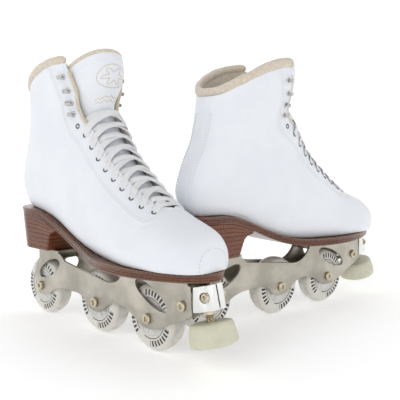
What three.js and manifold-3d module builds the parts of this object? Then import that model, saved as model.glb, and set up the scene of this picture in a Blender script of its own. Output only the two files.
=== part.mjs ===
// A pair of figure skates on three-wheel inline frames: white leather boots with
// brown leather soles and heels, aluminium frames, urethane wheels and a clamped
// toe stop. Millimetres, +Z up, standing on the floor (z = 0).
//
// Each skate is drawn in its own frame: x runs to the toe, y to the lateral (outer)
// side, z up, with the origin on the floor under the middle wheel. The right skate
// is the mirror image of the left one.
import * as THREE from 'three';
import { ParametricGeometry } from 'three/addons/geometries/ParametricGeometry.js';
import * as BufferGeometryUtils from 'three/addons/utils/BufferGeometryUtils.js';
import Module from 'manifold-3d';

const wasm = await Module();
wasm.setup();
const rad = THREE.MathUtils.degToRad;

// ---------------------------------------------------------------- driving sizes
const WHEEL_D = 68;            // wheel diameter
const TYRE_W = 21.6;           // wheel width
const HUB_D = 36;              // diameter of the hub that the tyre is cast on
const BEARING_D = 22;          // 608 bearing
const BEARING_W = 7;
const AXLE_D = 8;
const REAR_SPAN = 106;         // middle axle to rear axle
const FRONT_SPAN = 85;         // middle axle to front axle
const PLATE_T = 2.4;           // side plate
const WHEEL_GAP = 0.8;         // tyre to side plate
const BOLT_HEAD_D = 10;
const BOLT_HEAD_H = 2.2;
const HEEL_BASE_Z = 80.5;      // underside of the heel
const SOLE_BASE_Z = 81.5;      // underside of the sole at the ball of the foot
const SOLE_T = 8.5;            // outsole with its welt
const HEEL_RISE = 37.5;        // how far the heel seat stands above the ball
const RISE_START = 42;         // x where the shank starts to climb
const RISE_RUN = 145;          // length of the climb
const LEATHER_T = 3.2;         // upper with its lining
const COLLAR_D = 8;            // padded roll on the topline
const TONGUE_T = 6;            // padded tongue
const TONGUE_GAP = 5.8;        // room for the lace between upper and tongue
const FOOTBED_T = 4;
const LACE_D = 2.4;            // lace drawn round here, at its folded width
const EYELET_HOLE_D = 6.4;
const EYELET_ROWS = 10;
const LACED_ROWS = 9;
const STOP_TILT = 14;          // degrees that the toe stop's stem leans forward
const STOP_X = 160;            // centre of the pad
const STOP_Z = 33;
const STOP_D = 46;
const STOP_TOP_D = 40;
const STOP_H = 22;
const STEM_D = 8;
const CLEAR = 0.3;             // between pieces that fit into or onto each other
const SKIN_GAP = 0.9;           // between the leather and what lies inside it

// How the pair stands: place of each middle wheel and the way the toe points.
const STANCE = {
  left: { x: -102.4, y: -32.8, turn: -44.5 },
  right: { x: 86, y: 36, turn: 39.8 },
};

// ---------------------------------------------------------------- derived sizes
const AXLE_Z = WHEEL_D / 2;
const PLATE_IN = TYRE_W / 2 + WHEEL_GAP;
const PLATE_OUT = PLATE_IN + PLATE_T;
const WHEEL_X = { rear: -REAR_SPAN, middle: 0, front: FRONT_SPAN };
const SOLE_TOP_Z = SOLE_BASE_Z + SOLE_T;

// ---------------------------------------------------------------- solid helpers
// A closed three.js geometry as a manifold solid.
function solid(geometry) {
  let g = geometry.index ? geometry.toNonIndexed() : geometry.clone();
  for (const name of Object.keys(g.attributes)) {
    if (name !== 'position') g.deleteAttribute(name);
  }
  g = BufferGeometryUtils.mergeVertices(g, 1e-4);
  const triVerts = [];
  const index = g.index.array;
  for (let i = 0; i < index.length; i += 3) {
    const [a, b, c] = [index[i], index[i + 1], index[i + 2]];
    if (a !== b && b !== c && c !== a) triVerts.push(a, b, c);
  }
  const made = new wasm.Manifold(new wasm.Mesh({
    numProp: 3,
    vertProperties: new Float32Array(g.attributes.position.array),
    triVerts: new Uint32Array(triVerts),
  }));
  return made;
}

// A manifold solid back as a three.js geometry.
function geometryOf(body) {
  const mesh = body.getMesh();
  const g = new THREE.BufferGeometry();
  const at = new Float32Array(mesh.numVert * 3);
  for (let i = 0; i < mesh.numVert; i++) {
    for (let k = 0; k < 3; k++) at[3 * i + k] = mesh.vertProperties[mesh.numProp * i + k];
  }
  g.setAttribute('position', new THREE.BufferAttribute(at, 3));
  g.setIndex(Array.from(mesh.triVerts));
  return g;
}

// A shape drawn in x and z, extruded along y between two values.
function extrudeY(shape, y0, y1, curveSegments = 8) {
  const g = new THREE.ExtrudeGeometry(shape, { depth: y1 - y0, bevelEnabled: false, curveSegments });
  g.rotateX(Math.PI / 2);
  g.translate(0, y1, 0);
  return g;
}

// A shape drawn in x and y, extruded along z between two values.
function extrudeZ(shape, z0, z1, curveSegments = 8) {
  const g = new THREE.ExtrudeGeometry(shape, { depth: z1 - z0, bevelEnabled: false, curveSegments });
  g.translate(0, 0, z0);
  return g;
}

// A turned piece whose axis lies along y, with a flat of its rim facing down.
function turnedY(profile, x, z, segments) {
  const g = new THREE.LatheGeometry(profile.map(([r, y]) => new THREE.Vector2(r, y)), segments);
  g.rotateY(Math.PI / segments);
  g.translate(x, 0, z);
  return g;
}

// The mirror image in the xz plane, with the faces still pointing out.
function mirrored(geometry) {
  const g = geometry.index ? geometry.toNonIndexed() : geometry.clone();
  const p = g.attributes.position;
  for (let i = 0; i < p.count; i += 3) {
    const [bx, by, bz] = [p.getX(i + 1), p.getY(i + 1), p.getZ(i + 1)];
    p.setXYZ(i + 1, p.getX(i + 2), p.getY(i + 2), p.getZ(i + 2));
    p.setXYZ(i + 2, bx, by, bz);
  }
  for (let i = 0; i < p.count; i++) p.setY(i, -p.getY(i));
  g.deleteAttribute('normal');
  return g;
}

const clamp01 = (v) => Math.min(1, Math.max(0, v));
const smooth = (v) => v * v * (3 - 2 * v);

// ---------------------------------------------------------------- the last
// Top of the outsole: flat under the ball, climbing along the shank to the heel seat.
function soleTop(x) {
  const u = clamp01((RISE_START - x) / RISE_RUN);
  return SOLE_TOP_Z + HEEL_RISE * smooth(u ** 1.25);
}

// The boot's form is a row of sections from the toe tip round the heel to the cuff.
// A section runs from a top point on the instep line to a bottom point on the sole
// or back line: [top x, top z, bottom x, bottom z, half width, place of the widest
// point from the top, roundness of the top].
const SECTIONS = [
  [163.5, 96, 163.5, 96, 0, 0.6, 2.2],
  [161.5, 107, 161.5, 88, 13, 0.6, 2.2],
  [156, 119, 156, 84, 25, 0.62, 2.2],
  [145, 128, 145, 82, 33.5, 0.64, 2.1],
  [127, 135.5, 127, 80, 40, 0.66, 1.9],
  [105, 145, 106, 80, 44, 0.68, 1.65],
  [83, 161, 81, 80, 45.5, 0.7, 1.5],
  [62, 181, 52, 81, 43, 0.68, 1.5],
  [43, 202, 16, 84, 37, 0.62, 1.6],
  [31, 221, -24, 93, 33, 0.55, 1.8],
  [27, 234, -70, 112, 31.5, 0.5, 2],
  [25, 244, -117, 122, 30.5, 0.5, 2.1],
  [24, 252, -137, 146, 30.5, 0.52, 2.2],
  [23, 260, -130, 176, 32, 0.52, 2.2],
  [22, 268, -116, 203, 35, 0.52, 2.2],
  [20, 277, -108, 232, 38, 0.52, 2.2],
  [17, 289, -104, 254, 40, 0.52, 2.2],
  [14, 303, -101, 275, 41, 0.52, 2.2],
  [12, 318, -99, 296, 41.5, 0.52, 2.2],
];
const LAST = SECTIONS.length - 1;

// Value k of the section at place s (0 at the toe tip), on a Catmull-Rom curve.
function along(s, k) {
  const i = Math.min(LAST - 1, Math.max(0, Math.floor(s)));
  const t = s - i;
  const at = (j) => SECTIONS[Math.min(LAST, Math.max(0, j))][k];
  const [a, b, c, d] = [at(i - 1), at(i), at(i + 1), at(i + 2)];
  return b + 0.5 * t * (c - a + t * (2 * a - 5 * b + 4 * c - d + t * (3 * (b - c) + d - a)));
}

// A point of the form. s: place along it; a: 0 at the top, 1 at the bottom; side: +1
// or -1; inset: how far inside the outer face it lies.
function form(s, a, side, inset = 0) {
  let [tx, tz, bx, bz] = [0, 1, 2, 3].map((k) => along(s, k));
  const span = Math.hypot(bx - tx, bz - tz) || 1;
  const [dx, dz] = [(bx - tx) / span, (bz - tz) / span];
  const cut = Math.min(inset, 0.45 * span);
  tx += dx * cut;
  tz += dz * cut;
  bx -= dx * cut;
  bz -= dz * cut;
  const w = Math.max(0, along(s, 4) - inset);
  const q = along(s, 5);
  const round = along(s, 6);
  const angle = Math.PI * a;
  const across = Math.sin(angle);
  let share;
  let half;
  if (a < 0.5) {
    share = q * (1 - (1 - across ** round) ** (1 / round));
    half = w * across;
  } else {
    share = q + (1 - q) * (1 - across ** 2.5) ** (1 / 2.5);
    half = w * across;
  }
  const x = tx + (bx - tx) * share;
  const z = Math.max(tz + (bz - tz) * share, soleTop(x) + inset);
  return new THREE.Vector3(x, side * half, z);
}

// Closes the two ends of a tube made by ParametricGeometry, joining point i of each
// end loop to its last point but i.
function capped(g, slices, stacks) {
  const index = Array.from(g.index.array);
  for (const [j, flip] of [[0, true], [stacks, false]]) {
    const first = j * (slices + 1);
    for (let i = 0; i < slices / 2 - 1; i++) {
      const [a, b] = [first + i, first + i + 1];
      const [c, d] = [first + slices - 2 - i, first + slices - 1 - i];
      index.push(...(flip ? [a, c, b, a, d, c] : [a, b, c, a, c, d]));
    }
  }
  const made = new THREE.BufferGeometry();
  made.setAttribute('position', g.attributes.position);
  made.setIndex(index);
  return made;
}

// A closed body whose section at place s is the loop section(s, u), u from 0 to 1.
function loft(section, places, slices) {
  const stacks = places.length - 1;
  const g = new ParametricGeometry((u, v, target) => {
    const s = places[Math.round(v * stacks)];
    target.copy(section(s, u === 1 ? 0 : u));
  }, slices, stacks);
  return capped(g, slices, stacks);
}

// Places from s0 to s1, about steps of them per section of the form.
function places(s0, s1, steps) {
  const n = Math.ceil((s1 - s0) * steps);
  return Array.from({ length: n + 1 }, (_, i) => s0 + (s1 - s0) * i / n);
}

// The closed form inset from its outer face.
function formSolid(list, inset, slices) {
  return loft((s, u) => {
    const turn = 2 * u;
    return form(s, turn < 1 ? turn : 2 - turn, turn < 1 ? 1 : -1, inset);
  }, list, slices);
}

// ---------------------------------------------------------------- throat and topline
// Half the gap between the facings, at each section of the form from THROAT_START.
const THROAT_START = 4.85;
const THROAT = [[4.85, 0], [5, 7], [5.3, 12], [6, 15], [7, 17.5], [8, 19], [9, 20.5], [10, 22],
  [11, 23], [12, 24], [13, 26], [14, 28.5], [15, 32], [16, 35], [19, 37]];

function throatHalf(s) {
  for (let i = 1; i < THROAT.length; i++) {
    const [[s0, g0], [s1, g1]] = [THROAT[i - 1], THROAT[i]];
    if (s <= s1) return g0 + (g1 - g0) * clamp01((s - s0) / (s1 - s0));
  }
  return THROAT.at(-1)[1];
}

// Height of the leather's top edge, low at the back and high at the facings.
const TOPLINE = new THREE.CatmullRomCurve3([
  [-150, 246], [-125, 246], [-104, 251], [-87, 261.5], [-68, 271], [-50, 278], [-28, 282.5],
  [-4, 284], [20, 284], [60, 284],
].map(([x, z]) => new THREE.Vector3(x, 0, z)));

const toplinePoints = TOPLINE.getPoints(24);

function toplineZ(x) {
  for (let i = 1; i < toplinePoints.length; i++) {
    const [p, q] = [toplinePoints[i - 1], toplinePoints[i]];
    if (x <= q.x) return p.z + (q.z - p.z) * clamp01((x - p.x) / (q.x - p.x));
  }
  return toplinePoints.at(-1).z;
}

// The place s where the form, at angle a, passes a given height over the topline.
function placeOverTopline(a, side, inset, lift) {
  let [low, high] = [11, LAST];
  for (let i = 0; i < 40; i++) {
    const mid = (low + high) / 2;
    const p = form(mid, a, side, inset);
    if (p.z < toplineZ(p.x) + lift) low = mid;
    else high = mid;
  }
  return (low + high) / 2;
}

// The angle a where the form at place s is a given half width from the middle.
function angleAt(s, y, inset = 0) {
  const w = Math.max(1, along(s, 4) - inset);
  return Math.asin(clamp01(y / w)) / Math.PI;
}

// The angle a where a point lies a given way along the surface from angle a0.
function angleBeyond(s, a0, way) {
  let a = a0;
  let left = way;
  let p = form(s, a, 1);
  while (left > 0 && a < 0.99) {
    a += 0.002;
    const q = form(s, a, 1);
    left -= q.distanceTo(p);
    p = q;
  }
  return a;
}

// Outward direction of the form at a point of its outer face.
function outward(s, a, side) {
  const e = 0.01;
  const along1 = form(s + e, a, side).sub(form(s - e, a, side));
  const around = form(s, a + e, side).sub(form(s, a - e, side));
  return around.cross(along1).multiplyScalar(side).normalize();
}

// ---------------------------------------------------------------- boot
const EYELET_EDGE = 10;        // facing edge to the eyelets
const EYELET_FIRST = 5.15;     // place of the lowest eyelet
const EYELET_LAST = 11.2;      // place of the highest eyelet

// Places of the eyelet rows, evenly spaced along the facing.
function eyeletPlaces() {
  const fine = places(EYELET_FIRST, EYELET_LAST, 40);
  const edge = fine.map((s) => form(s, angleBeyond(s, angleAt(s, throatHalf(s)), EYELET_EDGE), 1));
  const way = [0];
  for (let i = 1; i < fine.length; i++) way.push(way[i - 1] + edge[i].distanceTo(edge[i - 1]));
  return Array.from({ length: EYELET_ROWS }, (_, r) => {
    const target = way.at(-1) * r / (EYELET_ROWS - 1);
    return fine[way.findIndex((d) => d >= target - 1e-9)];
  });
}
const ROWS = eyeletPlaces();

function eyelet(row, side) {
  const s = ROWS[row];
  const a = angleBeyond(s, angleAt(s, throatHalf(s)), EYELET_EDGE);
  return { s, a, at: form(s, a, side), out: outward(s, a, side) };
}

const UPPER_PLACES = [0, 0.35, 1, ...places(2, 7, 1), ...places(7.6, 11, 1.6), ...places(12, 18, 0.8)];
const INNER_PLACES = [0.9, 1.5, ...places(2, 7, 1), ...places(7.6, 11, 1.6), ...places(12, 18, 0.8)];
const UPPER_SLICES = 18;
const INNER_SLICES = 16;
const SIMPLIFY = 0.1;          // drops the slivers that the cuts leave

function upper() {
  let body = solid(formSolid(UPPER_PLACES, 0, UPPER_SLICES));
  body = body.subtract(solid(formSolid(INNER_PLACES, LEATHER_T, INNER_SLICES)));
  const above = new THREE.Shape(toplinePoints.map((p) => new THREE.Vector2(p.x, p.z)));
  above.lineTo(60, 400);
  above.lineTo(-150, 400);
  body = body.subtract(solid(extrudeY(above, -90, 90)));
  body = body.subtract(solid(throatCutter()));
  const hole = new THREE.CylinderGeometry(EYELET_HOLE_D / 2, EYELET_HOLE_D / 2, 5 * LEATHER_T, 6);
  for (let row = 0; row < EYELET_ROWS; row++) {
    for (const side of [1, -1]) {
      const e = eyelet(row, side);
      const g = hole.clone();
      g.applyQuaternion(new THREE.Quaternion().setFromUnitVectors(new THREE.Vector3(0, 1, 0), e.out));
      g.translate(e.at.x, e.at.y, e.at.z);
      body = body.subtract(solid(g));
    }
  }
  return geometryOf(body.simplify(SIMPLIFY));
}

// The wedge between the facings: a box section carried up the instep line.
function throatCutter() {
  const above = 20;
  const below = 36;
  return loft((s, u) => {
    const [tx, tz, bx, bz] = [0, 1, 2, 3].map((k) => along(s, k));
    const span = Math.hypot(bx - tx, bz - tz);
    const [dx, dz] = [(bx - tx) / span, (bz - tz) / span];
    const corner = Math.floor(4 * u + 0.5) % 4;
    const depth = corner === 0 || corner === 3 ? -above : below;
    const y = (corner < 2 ? 1 : -1) * Math.max(0.5, throatHalf(s));
    return new THREE.Vector3(tx + dx * depth, y, tz + dz * depth);
  }, [THROAT_START, 5, 5.3, ...places(6, 18, 1)], 4);
}

const THROAT_CROWN = 0.4;      // share of the form's own curve left between the laced facings

// A point of the form, flattened where it lies between the facings.
function pressed(s, a, side, inset) {
  const edge = angleAt(s, throatHalf(s));
  const p = form(s, a, side, inset);
  if (a >= edge) return p;
  const q = form(s, edge, side, inset);
  const crown = THROAT_CROWN + (1 - THROAT_CROWN) * smooth(clamp01((s - 10) / 4));
  p.x = q.x + (p.x - q.x) * crown;
  p.z = q.z + (p.z - q.z) * crown;
  return p;
}

// Padded tongue: a curved slab under the facings, sewn in at the vamp.
const TONGUE_START = 4.45;
const TONGUE_END = 16.5;
const TONGUE_DROOP = 0.9;      // how much lower its corners end
const TONGUE_LAP = 7;          // how far it reaches under each facing
const TONGUE_LEAN = 9;         // how far the middle of its top leans forward
const TONGUE_LEAN_START = 11.5; // place where it begins to lean

// How far under the form's face the tongue lies; middle is 1 on its centre line.
function tongueInset(s, middle = 0) {
  const under = LEATHER_T + SKIN_GAP + (TONGUE_GAP - SKIN_GAP) * smooth(clamp01((s - TONGUE_START) / 0.55));
  return under - TONGUE_LEAN * middle * smooth(clamp01((s - TONGUE_LEAN_START) / 4));
}

function tongue() {
  const slices = 12;
  return loft((s, u) => {
    const step = Math.round(u * slices) % slices;
    const half = slices / 2;
    const outer = step < half;
    const reach = angleAt(s, throatHalf(s) + TONGUE_LAP, tongueInset(s));
    const limit = Math.min(0.42, reach);
    const share = outer ? step / (half - 1) : 1 - (step - half) / (half - 1);
    const a = limit * (2 * share - 1);
    const inset = tongueInset(s, 1 - (a / limit) ** 2) + (outer ? 0 : TONGUE_T);
    const droop = TONGUE_DROOP * (a / limit) ** 2 * clamp01((s - 13) / 3);
    return pressed(s - droop, Math.abs(a), a < 0 ? -1 : 1, inset);
  }, [TONGUE_START, 4.8, 5.1, ...places(6, TONGUE_END, 1)], slices);
}

// Path of the padded roll, from one facing round the back to the other.
function collar() {
  const lift = COLLAR_D / 2 + SKIN_GAP;
  const inset = LEATHER_T / 2;
  const front = 0.36;
  const points = [];
  const steps = 11;
  const add = (a, side) => {
    const s = placeOverTopline(a, side, inset, lift);
    points.push(form(s, a, side, inset));
  };
  for (let i = 0; i <= steps; i++) add(front + (1 - front) * i / steps, 1);
  for (let i = steps - 1; i >= 0; i--) add(front + (1 - front) * i / steps, -1);
  const path = new THREE.CatmullRomCurve3(points);
  const ring = new THREE.Shape();
  ring.absarc(0, 0, COLLAR_D / 2, 0, 2 * Math.PI, false);
  return new THREE.ExtrudeGeometry(ring, {
    steps: 28, bevelEnabled: false, extrudePath: path, curveSegments: 4,
  });
}

// A slab between two heights over the sole line, across the whole width.
function soleSlab(low, high, x0 = -160, x1 = 180) {
  const shape = new THREE.Shape();
  const n = 24;
  for (let i = 0; i <= n; i++) {
    const x = x0 + (x1 - x0) * i / n;
    shape[i ? 'lineTo' : 'moveTo'](x, soleTop(x) + low);
  }
  for (let i = n; i >= 0; i--) {
    const x = x0 + (x1 - x0) * i / n;
    shape.lineTo(x, soleTop(x) + high);
  }
  return solid(extrudeY(shape, -90, 90));
}

function footbed() {
  const inset = LEATHER_T + SKIN_GAP;
  const inside = formSolid(INNER_PLACES.slice(1), inset, INNER_SLICES);
  return geometryOf(solid(inside).intersect(soleSlab(0, inset + FOOTBED_T)));
}

// Outline of the sole seen from below; y to the lateral side.
const SOLE_OUTLINE = [
  [166, 0], [162, 12], [152, 22], [136, 31], [112, 41], [84, 47], [56, 46.5], [30, 40], [0, 31.5],
  [-35, 27], [-70, 27], [-103, 28.5], [-124, 23.5], [-135, 12], [-138.5, 0], [-135, -12],
  [-124, -23.5], [-103, -28.5], [-70, -26.5], [-35, -26], [0, -30.5], [30, -40], [56, -46.5],
  [84, -47.5], [112, -42.5], [136, -33], [152, -23], [162, -12],
];

function outsole() {
  const curve = new THREE.CatmullRomCurve3(SOLE_OUTLINE.map(([x, y]) => new THREE.Vector3(x, y, 0)), true);
  const shape = new THREE.Shape(curve.getPoints(56).slice(0, -1).map((p) => new THREE.Vector2(p.x, p.y)));
  const block = solid(extrudeZ(shape, SOLE_BASE_Z - 5, SOLE_TOP_Z + HEEL_RISE + 5));
  return geometryOf(block.intersect(soleSlab(-SOLE_T, -SKIN_GAP)));
}

// Stacked heel: a D-shaped block under the heel seat, tapering to the floor side.
const HEEL_BACK = -109;        // centre of the round back
const HEEL_R = 27.5;
const HEEL_FRONT = -57;        // where its breast meets the sole
const HEEL_TAPER = 0.09;

function heel() {
  const plan = new THREE.Shape();
  plan.moveTo(HEEL_FRONT + 4, -25.5);
  plan.lineTo(HEEL_BACK, -HEEL_R);
  plan.absarc(HEEL_BACK, 0, HEEL_R, -Math.PI / 2, Math.PI / 2, true);
  plan.lineTo(HEEL_FRONT + 4, 25.5);
  plan.closePath();
  const side = new THREE.Shape();
  side.moveTo(-150, HEEL_BASE_Z);
  side.lineTo(-73, HEEL_BASE_Z);
  side.lineTo(-69, 92);
  side.bezierCurveTo(-67.5, 101, -65, 106, HEEL_FRONT + 2, soleTop(HEEL_FRONT) - SOLE_T - 1.2);
  side.lineTo(HEEL_FRONT + 4, soleTop(HEEL_FRONT) + 5);
  side.lineTo(-150, soleTop(-150) + 5);
  side.closePath();
  const top = SOLE_TOP_Z + HEEL_RISE - SOLE_T;
  let body = solid(extrudeZ(plan, HEEL_BASE_Z - 1, top + 10, 14)).intersect(solid(extrudeY(side, -60, 60)));
  body = body.intersect(soleSlab(-90, -SOLE_T - CLEAR));
  const g = geometryOf(body);
  const p = g.attributes.position;
  for (let i = 0; i < p.count; i++) {
    const k = 1 - HEEL_TAPER * clamp01((top - p.getZ(i)) / (top - HEEL_BASE_Z));
    p.setX(i, -98 + (p.getX(i) + 98) * k);
    p.setY(i, p.getY(i) * k);
  }
  return g;
}

// ---------------------------------------------------------------- lace
// A path whose steps fall on its own points.
class PointPath extends THREE.Curve {
  constructor(points) {
    super();
    this.points = points;
  }

  getPoint(t, target = new THREE.Vector3()) {
    const k = t * (this.points.length - 1);
    const i = Math.min(this.points.length - 2, Math.floor(k + 1e-9));
    return target.lerpVectors(this.points[i], this.points[i + 1], k - i);
  }

  getPointAt(u, target) {
    return this.getPoint(u, target);
  }

  getTangentAt(u, target = new THREE.Vector3()) {
    const n = this.points.length - 1;
    const i = Math.round(u * n);
    const [a, b] = [this.points[Math.max(0, i - 1)], this.points[Math.min(n, i + 1)]];
    return target.subVectors(b, a).normalize();
  }
}

const LACE_R = LACE_D / 2;
const LACE_SIDES = 5;
const LACE_OUT = LACE_R + 1.5 * CLEAR;
const LACE_UNDER = LEATHER_T + LACE_OUT + 2 * CLEAR;

// From the eyelet on one side, over its facing, across the tongue, under the other
// facing and out of the eyelet above.
function laceCrossing(row, side, high) {
  const [from, to] = [eyelet(row, side), eyelet(row + 1, -side)];
  const points = [];
  const s0 = from.s;
  const s1 = to.s;
  const edge0 = angleAt(s0, throatHalf(s0));
  const edge1 = angleAt(s1, throatHalf(s1));
  const lifted = (s, a, sd, by) => form(s, a, sd).addScaledVector(outward(s, Math.max(a, 0.02), sd), by);
  points.push(from.at.clone().addScaledVector(from.out, LACE_OUT + 1));
  const lean = 0.15 * (s1 - s0);
  points.push(lifted(s0 + lean, edge0 + 0.012, side, LACE_OUT + 0.8));
  const over = high ? LACE_OUT + LACE_D + CLEAR - LEATHER_T : LACE_OUT - LEATHER_T;
  const mid = (s0 + s1) / 2;
  points.push(pressed(mid, edge0 / 2, side, -over - 0.2));
  points.push(pressed(mid, 0, side, -over));
  points.push(pressed(mid, edge1 / 2, -side, -over));
  points.push(form(s1, edge1 - 0.02, -side, LACE_UNDER));
  points.push(to.at.clone().addScaledVector(to.out, -LACE_UNDER));
  return points;
}

function lace() {
  const strand = (side, high) => {
    const points = [];
    for (let row = 0; row < LACED_ROWS - 1; row++) {
      points.push(...laceCrossing(row, row % 2 ? -side : side, high));
    }
    const last = eyelet(LACED_ROWS - 1, (LACED_ROWS - 1) % 2 ? -side : side);
    points.push(last.at.clone().addScaledVector(last.out, LACE_OUT + 1));
    return points;
  };
  const [a, b] = [strand(1, true), strand(-1, false)];
  const [l, r] = [eyelet(0, 1), eyelet(0, -1)];
  const bar = [l.at.clone().addScaledVector(l.out, -LACE_UNDER), form(l.s, l.a / 2, 1, LACE_UNDER),
    form(l.s, 0, 1, LACE_UNDER), form(l.s, l.a / 2, -1, LACE_UNDER),
    r.at.clone().addScaledVector(r.out, -LACE_UNDER)];
  const path = new PointPath([...a.reverse(), ...bar, ...b]);
  const ring = Array.from({ length: LACE_SIDES }, (_, i) => {
    const turn = 2 * Math.PI * i / LACE_SIDES;
    return new THREE.Vector2(LACE_R * Math.cos(turn), LACE_R * Math.sin(turn));
  });
  return new THREE.ExtrudeGeometry(new THREE.Shape(ring), {
    steps: path.points.length - 1, bevelEnabled: false, extrudePath: path,
  });
}

// ---------------------------------------------------------------- frame
const LOBE_R = 10;             // plate round each axle
const PEDESTAL_TOP = 77;       // top of the side plates under the heel
const SOLE_PEDESTAL_TOP = 76.5;
const PLATE_FRONT = 145;
const BRACKET_BOLT = { x: 134, z: 56 };

// Outline of a side plate in x and z.
function plateShape() {
  const s = new THREE.Shape();
  s.moveTo(-107, PEDESTAL_TOP);
  s.lineTo(-107, 68);
  s.quadraticCurveTo(-117, 58, -118, 46);
  s.quadraticCurveTo(-118.5, 30, -REAR_SPAN - 2, AXLE_Z - LOBE_R);
  s.quadraticCurveTo(-92, AXLE_Z - LOBE_R, -82, 31);
  s.quadraticCurveTo(-70, 38.5, -52, 38.5);
  s.lineTo(-30, 38.5);
  s.quadraticCurveTo(-22, 37, -16, 30);
  s.quadraticCurveTo(-9, AXLE_Z - LOBE_R, 0, AXLE_Z - LOBE_R);
  s.quadraticCurveTo(10, AXLE_Z - LOBE_R, 17, 30.5);
  s.quadraticCurveTo(27, 39.5, 40, 39.5);
  s.quadraticCurveTo(55, 39, 68, 29.5);
  s.quadraticCurveTo(76, AXLE_Z - LOBE_R, FRONT_SPAN, AXLE_Z - LOBE_R);
  s.quadraticCurveTo(98, AXLE_Z - LOBE_R, 108, 30.5);
  s.lineTo(PLATE_FRONT + 2, 48);
  s.lineTo(PLATE_FRONT, SOLE_PEDESTAL_TOP);
  s.lineTo(50, SOLE_PEDESTAL_TOP);
  s.bezierCurveTo(44, 66, 36, 59.5, 22, 59.5);
  s.lineTo(-24, 65.5);
  s.lineTo(-55, 70);
  s.lineTo(-64, PEDESTAL_TOP);
  s.closePath();
  const windows = [[-86.5, 57.5, 23, 8.6, 26], [90.5, 58, 25.5, 8.6, -25]];
  for (const [x, z, long, short, tilt] of windows) {
    const hole = new THREE.Path();
    hole.absellipse(x, z, long, short, 0, 2 * Math.PI, true, rad(tilt));
    s.holes.push(hole);
  }
  const bores = [...Object.values(WHEEL_X).map((x) => ({ x, z: AXLE_Z })), BRACKET_BOLT];
  for (const { x, z } of bores) {
    const hole = new THREE.Path();
    hole.absarc(x, z, AXLE_D / 2 + 2 * CLEAR, 0, 2 * Math.PI, true);
    s.holes.push(hole);
  }
  return s;
}

function sidePlate(side) {
  const [y0, y1] = side > 0 ? [PLATE_IN, PLATE_OUT] : [-PLATE_OUT, -PLATE_IN];
  return extrudeY(plateShape(), y0, y1, 4);
}

const WEB_Y = PLATE_IN - CLEAR;
const WEB_BOTTOM = 70.5;

// A flat mounting plate with a web that reaches down between the side plates.
function mountPlate(x0, x1, half, z0, z1, inset) {
  const flange = new THREE.BoxGeometry(x1 - x0, 2 * half, z1 - z0);
  flange.translate((x0 + x1) / 2, 0, (z0 + z1) / 2);
  const web = new THREE.BoxGeometry(x1 - x0 - 2 * inset, 2 * WEB_Y, z0 - WEB_BOTTOM + 1);
  web.translate((x0 + x1) / 2, 0, (z0 + WEB_BOTTOM + 1) / 2);
  return geometryOf(solid(flange).add(solid(web)));
}

const heelPlate = () => mountPlate(-108, -65, PLATE_OUT + 1.5, PEDESTAL_TOP, HEEL_BASE_Z, 4);
const solePlate = () => mountPlate(50, PLATE_FRONT - 2, PLATE_OUT + 2, SOLE_PEDESTAL_TOP, SOLE_BASE_Z, 6);

// ---------------------------------------------------------------- toe stop
const STOP_AXIS = new THREE.Vector3(-Math.sin(rad(STOP_TILT)), 0, Math.cos(rad(STOP_TILT)));
const STOP_AT = new THREE.Vector3(STOP_X, 0, STOP_Z);
const BRACKET_LOW = 21.5;      // from the pad's centre along the stem
const BRACKET_HIGH = 44.5;
const CLAMP_BOLT_AHEAD = 9;    // stem axis to the clamp bolt
const CLAMP_BOLT_UP = 34;
const BRACKET_BACK = 6.5;
const BRACKET_NOSE = 15;
const NOSE_HALF = 9.5;
const JAM_NUT_H = 4;
const CLAMP_HEAD_D = 9;

// Stands a piece drawn along +z, with its origin at the pad's centre, on the stem.
function onStem(geometry) {
  geometry.rotateY(-rad(STOP_TILT));
  geometry.translate(STOP_AT.x, STOP_AT.y, STOP_AT.z);
  return geometry;
}

function lathed(profile, segments) {
  const g = new THREE.LatheGeometry(profile.map(([r, z]) => new THREE.Vector2(r, z)), segments);
  g.rotateX(Math.PI / 2);
  return g;
}

function stopPad() {
  const h = STOP_H / 2;
  const [low, top] = [STOP_D / 2, STOP_TOP_D / 2];
  const bore = STEM_D / 2 + 2 * CLEAR;
  return onStem(lathed([[0, -h], [low - 4, -h], [low - 1, -h + 1.2], [low, -h + 4], [top + 1, h - 3],
    [top - 0.5, h - 0.8], [top - 3, h], [bore, h], [bore, -2], [0, -2]], 20));
}

function stopStem() {
  const r = STEM_D / 2;
  const [low, high] = [-2 + CLEAR, BRACKET_HIGH - 1];
  return onStem(lathed([[0, low], [r - 0.6, low], [r, low + 0.6], [r, high - 0.6], [r - 0.6, high],
    [0, high]], 14));
}

function jamNut() {
  const [out, bore, top] = [7, STEM_D / 2 + 2 * CLEAR, BRACKET_LOW - CLEAR];
  return onStem(lathed([[bore, top - JAM_NUT_H], [out, top - JAM_NUT_H], [out, top], [bore, top],
    [bore, top - JAM_NUT_H]], 6));
}

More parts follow.
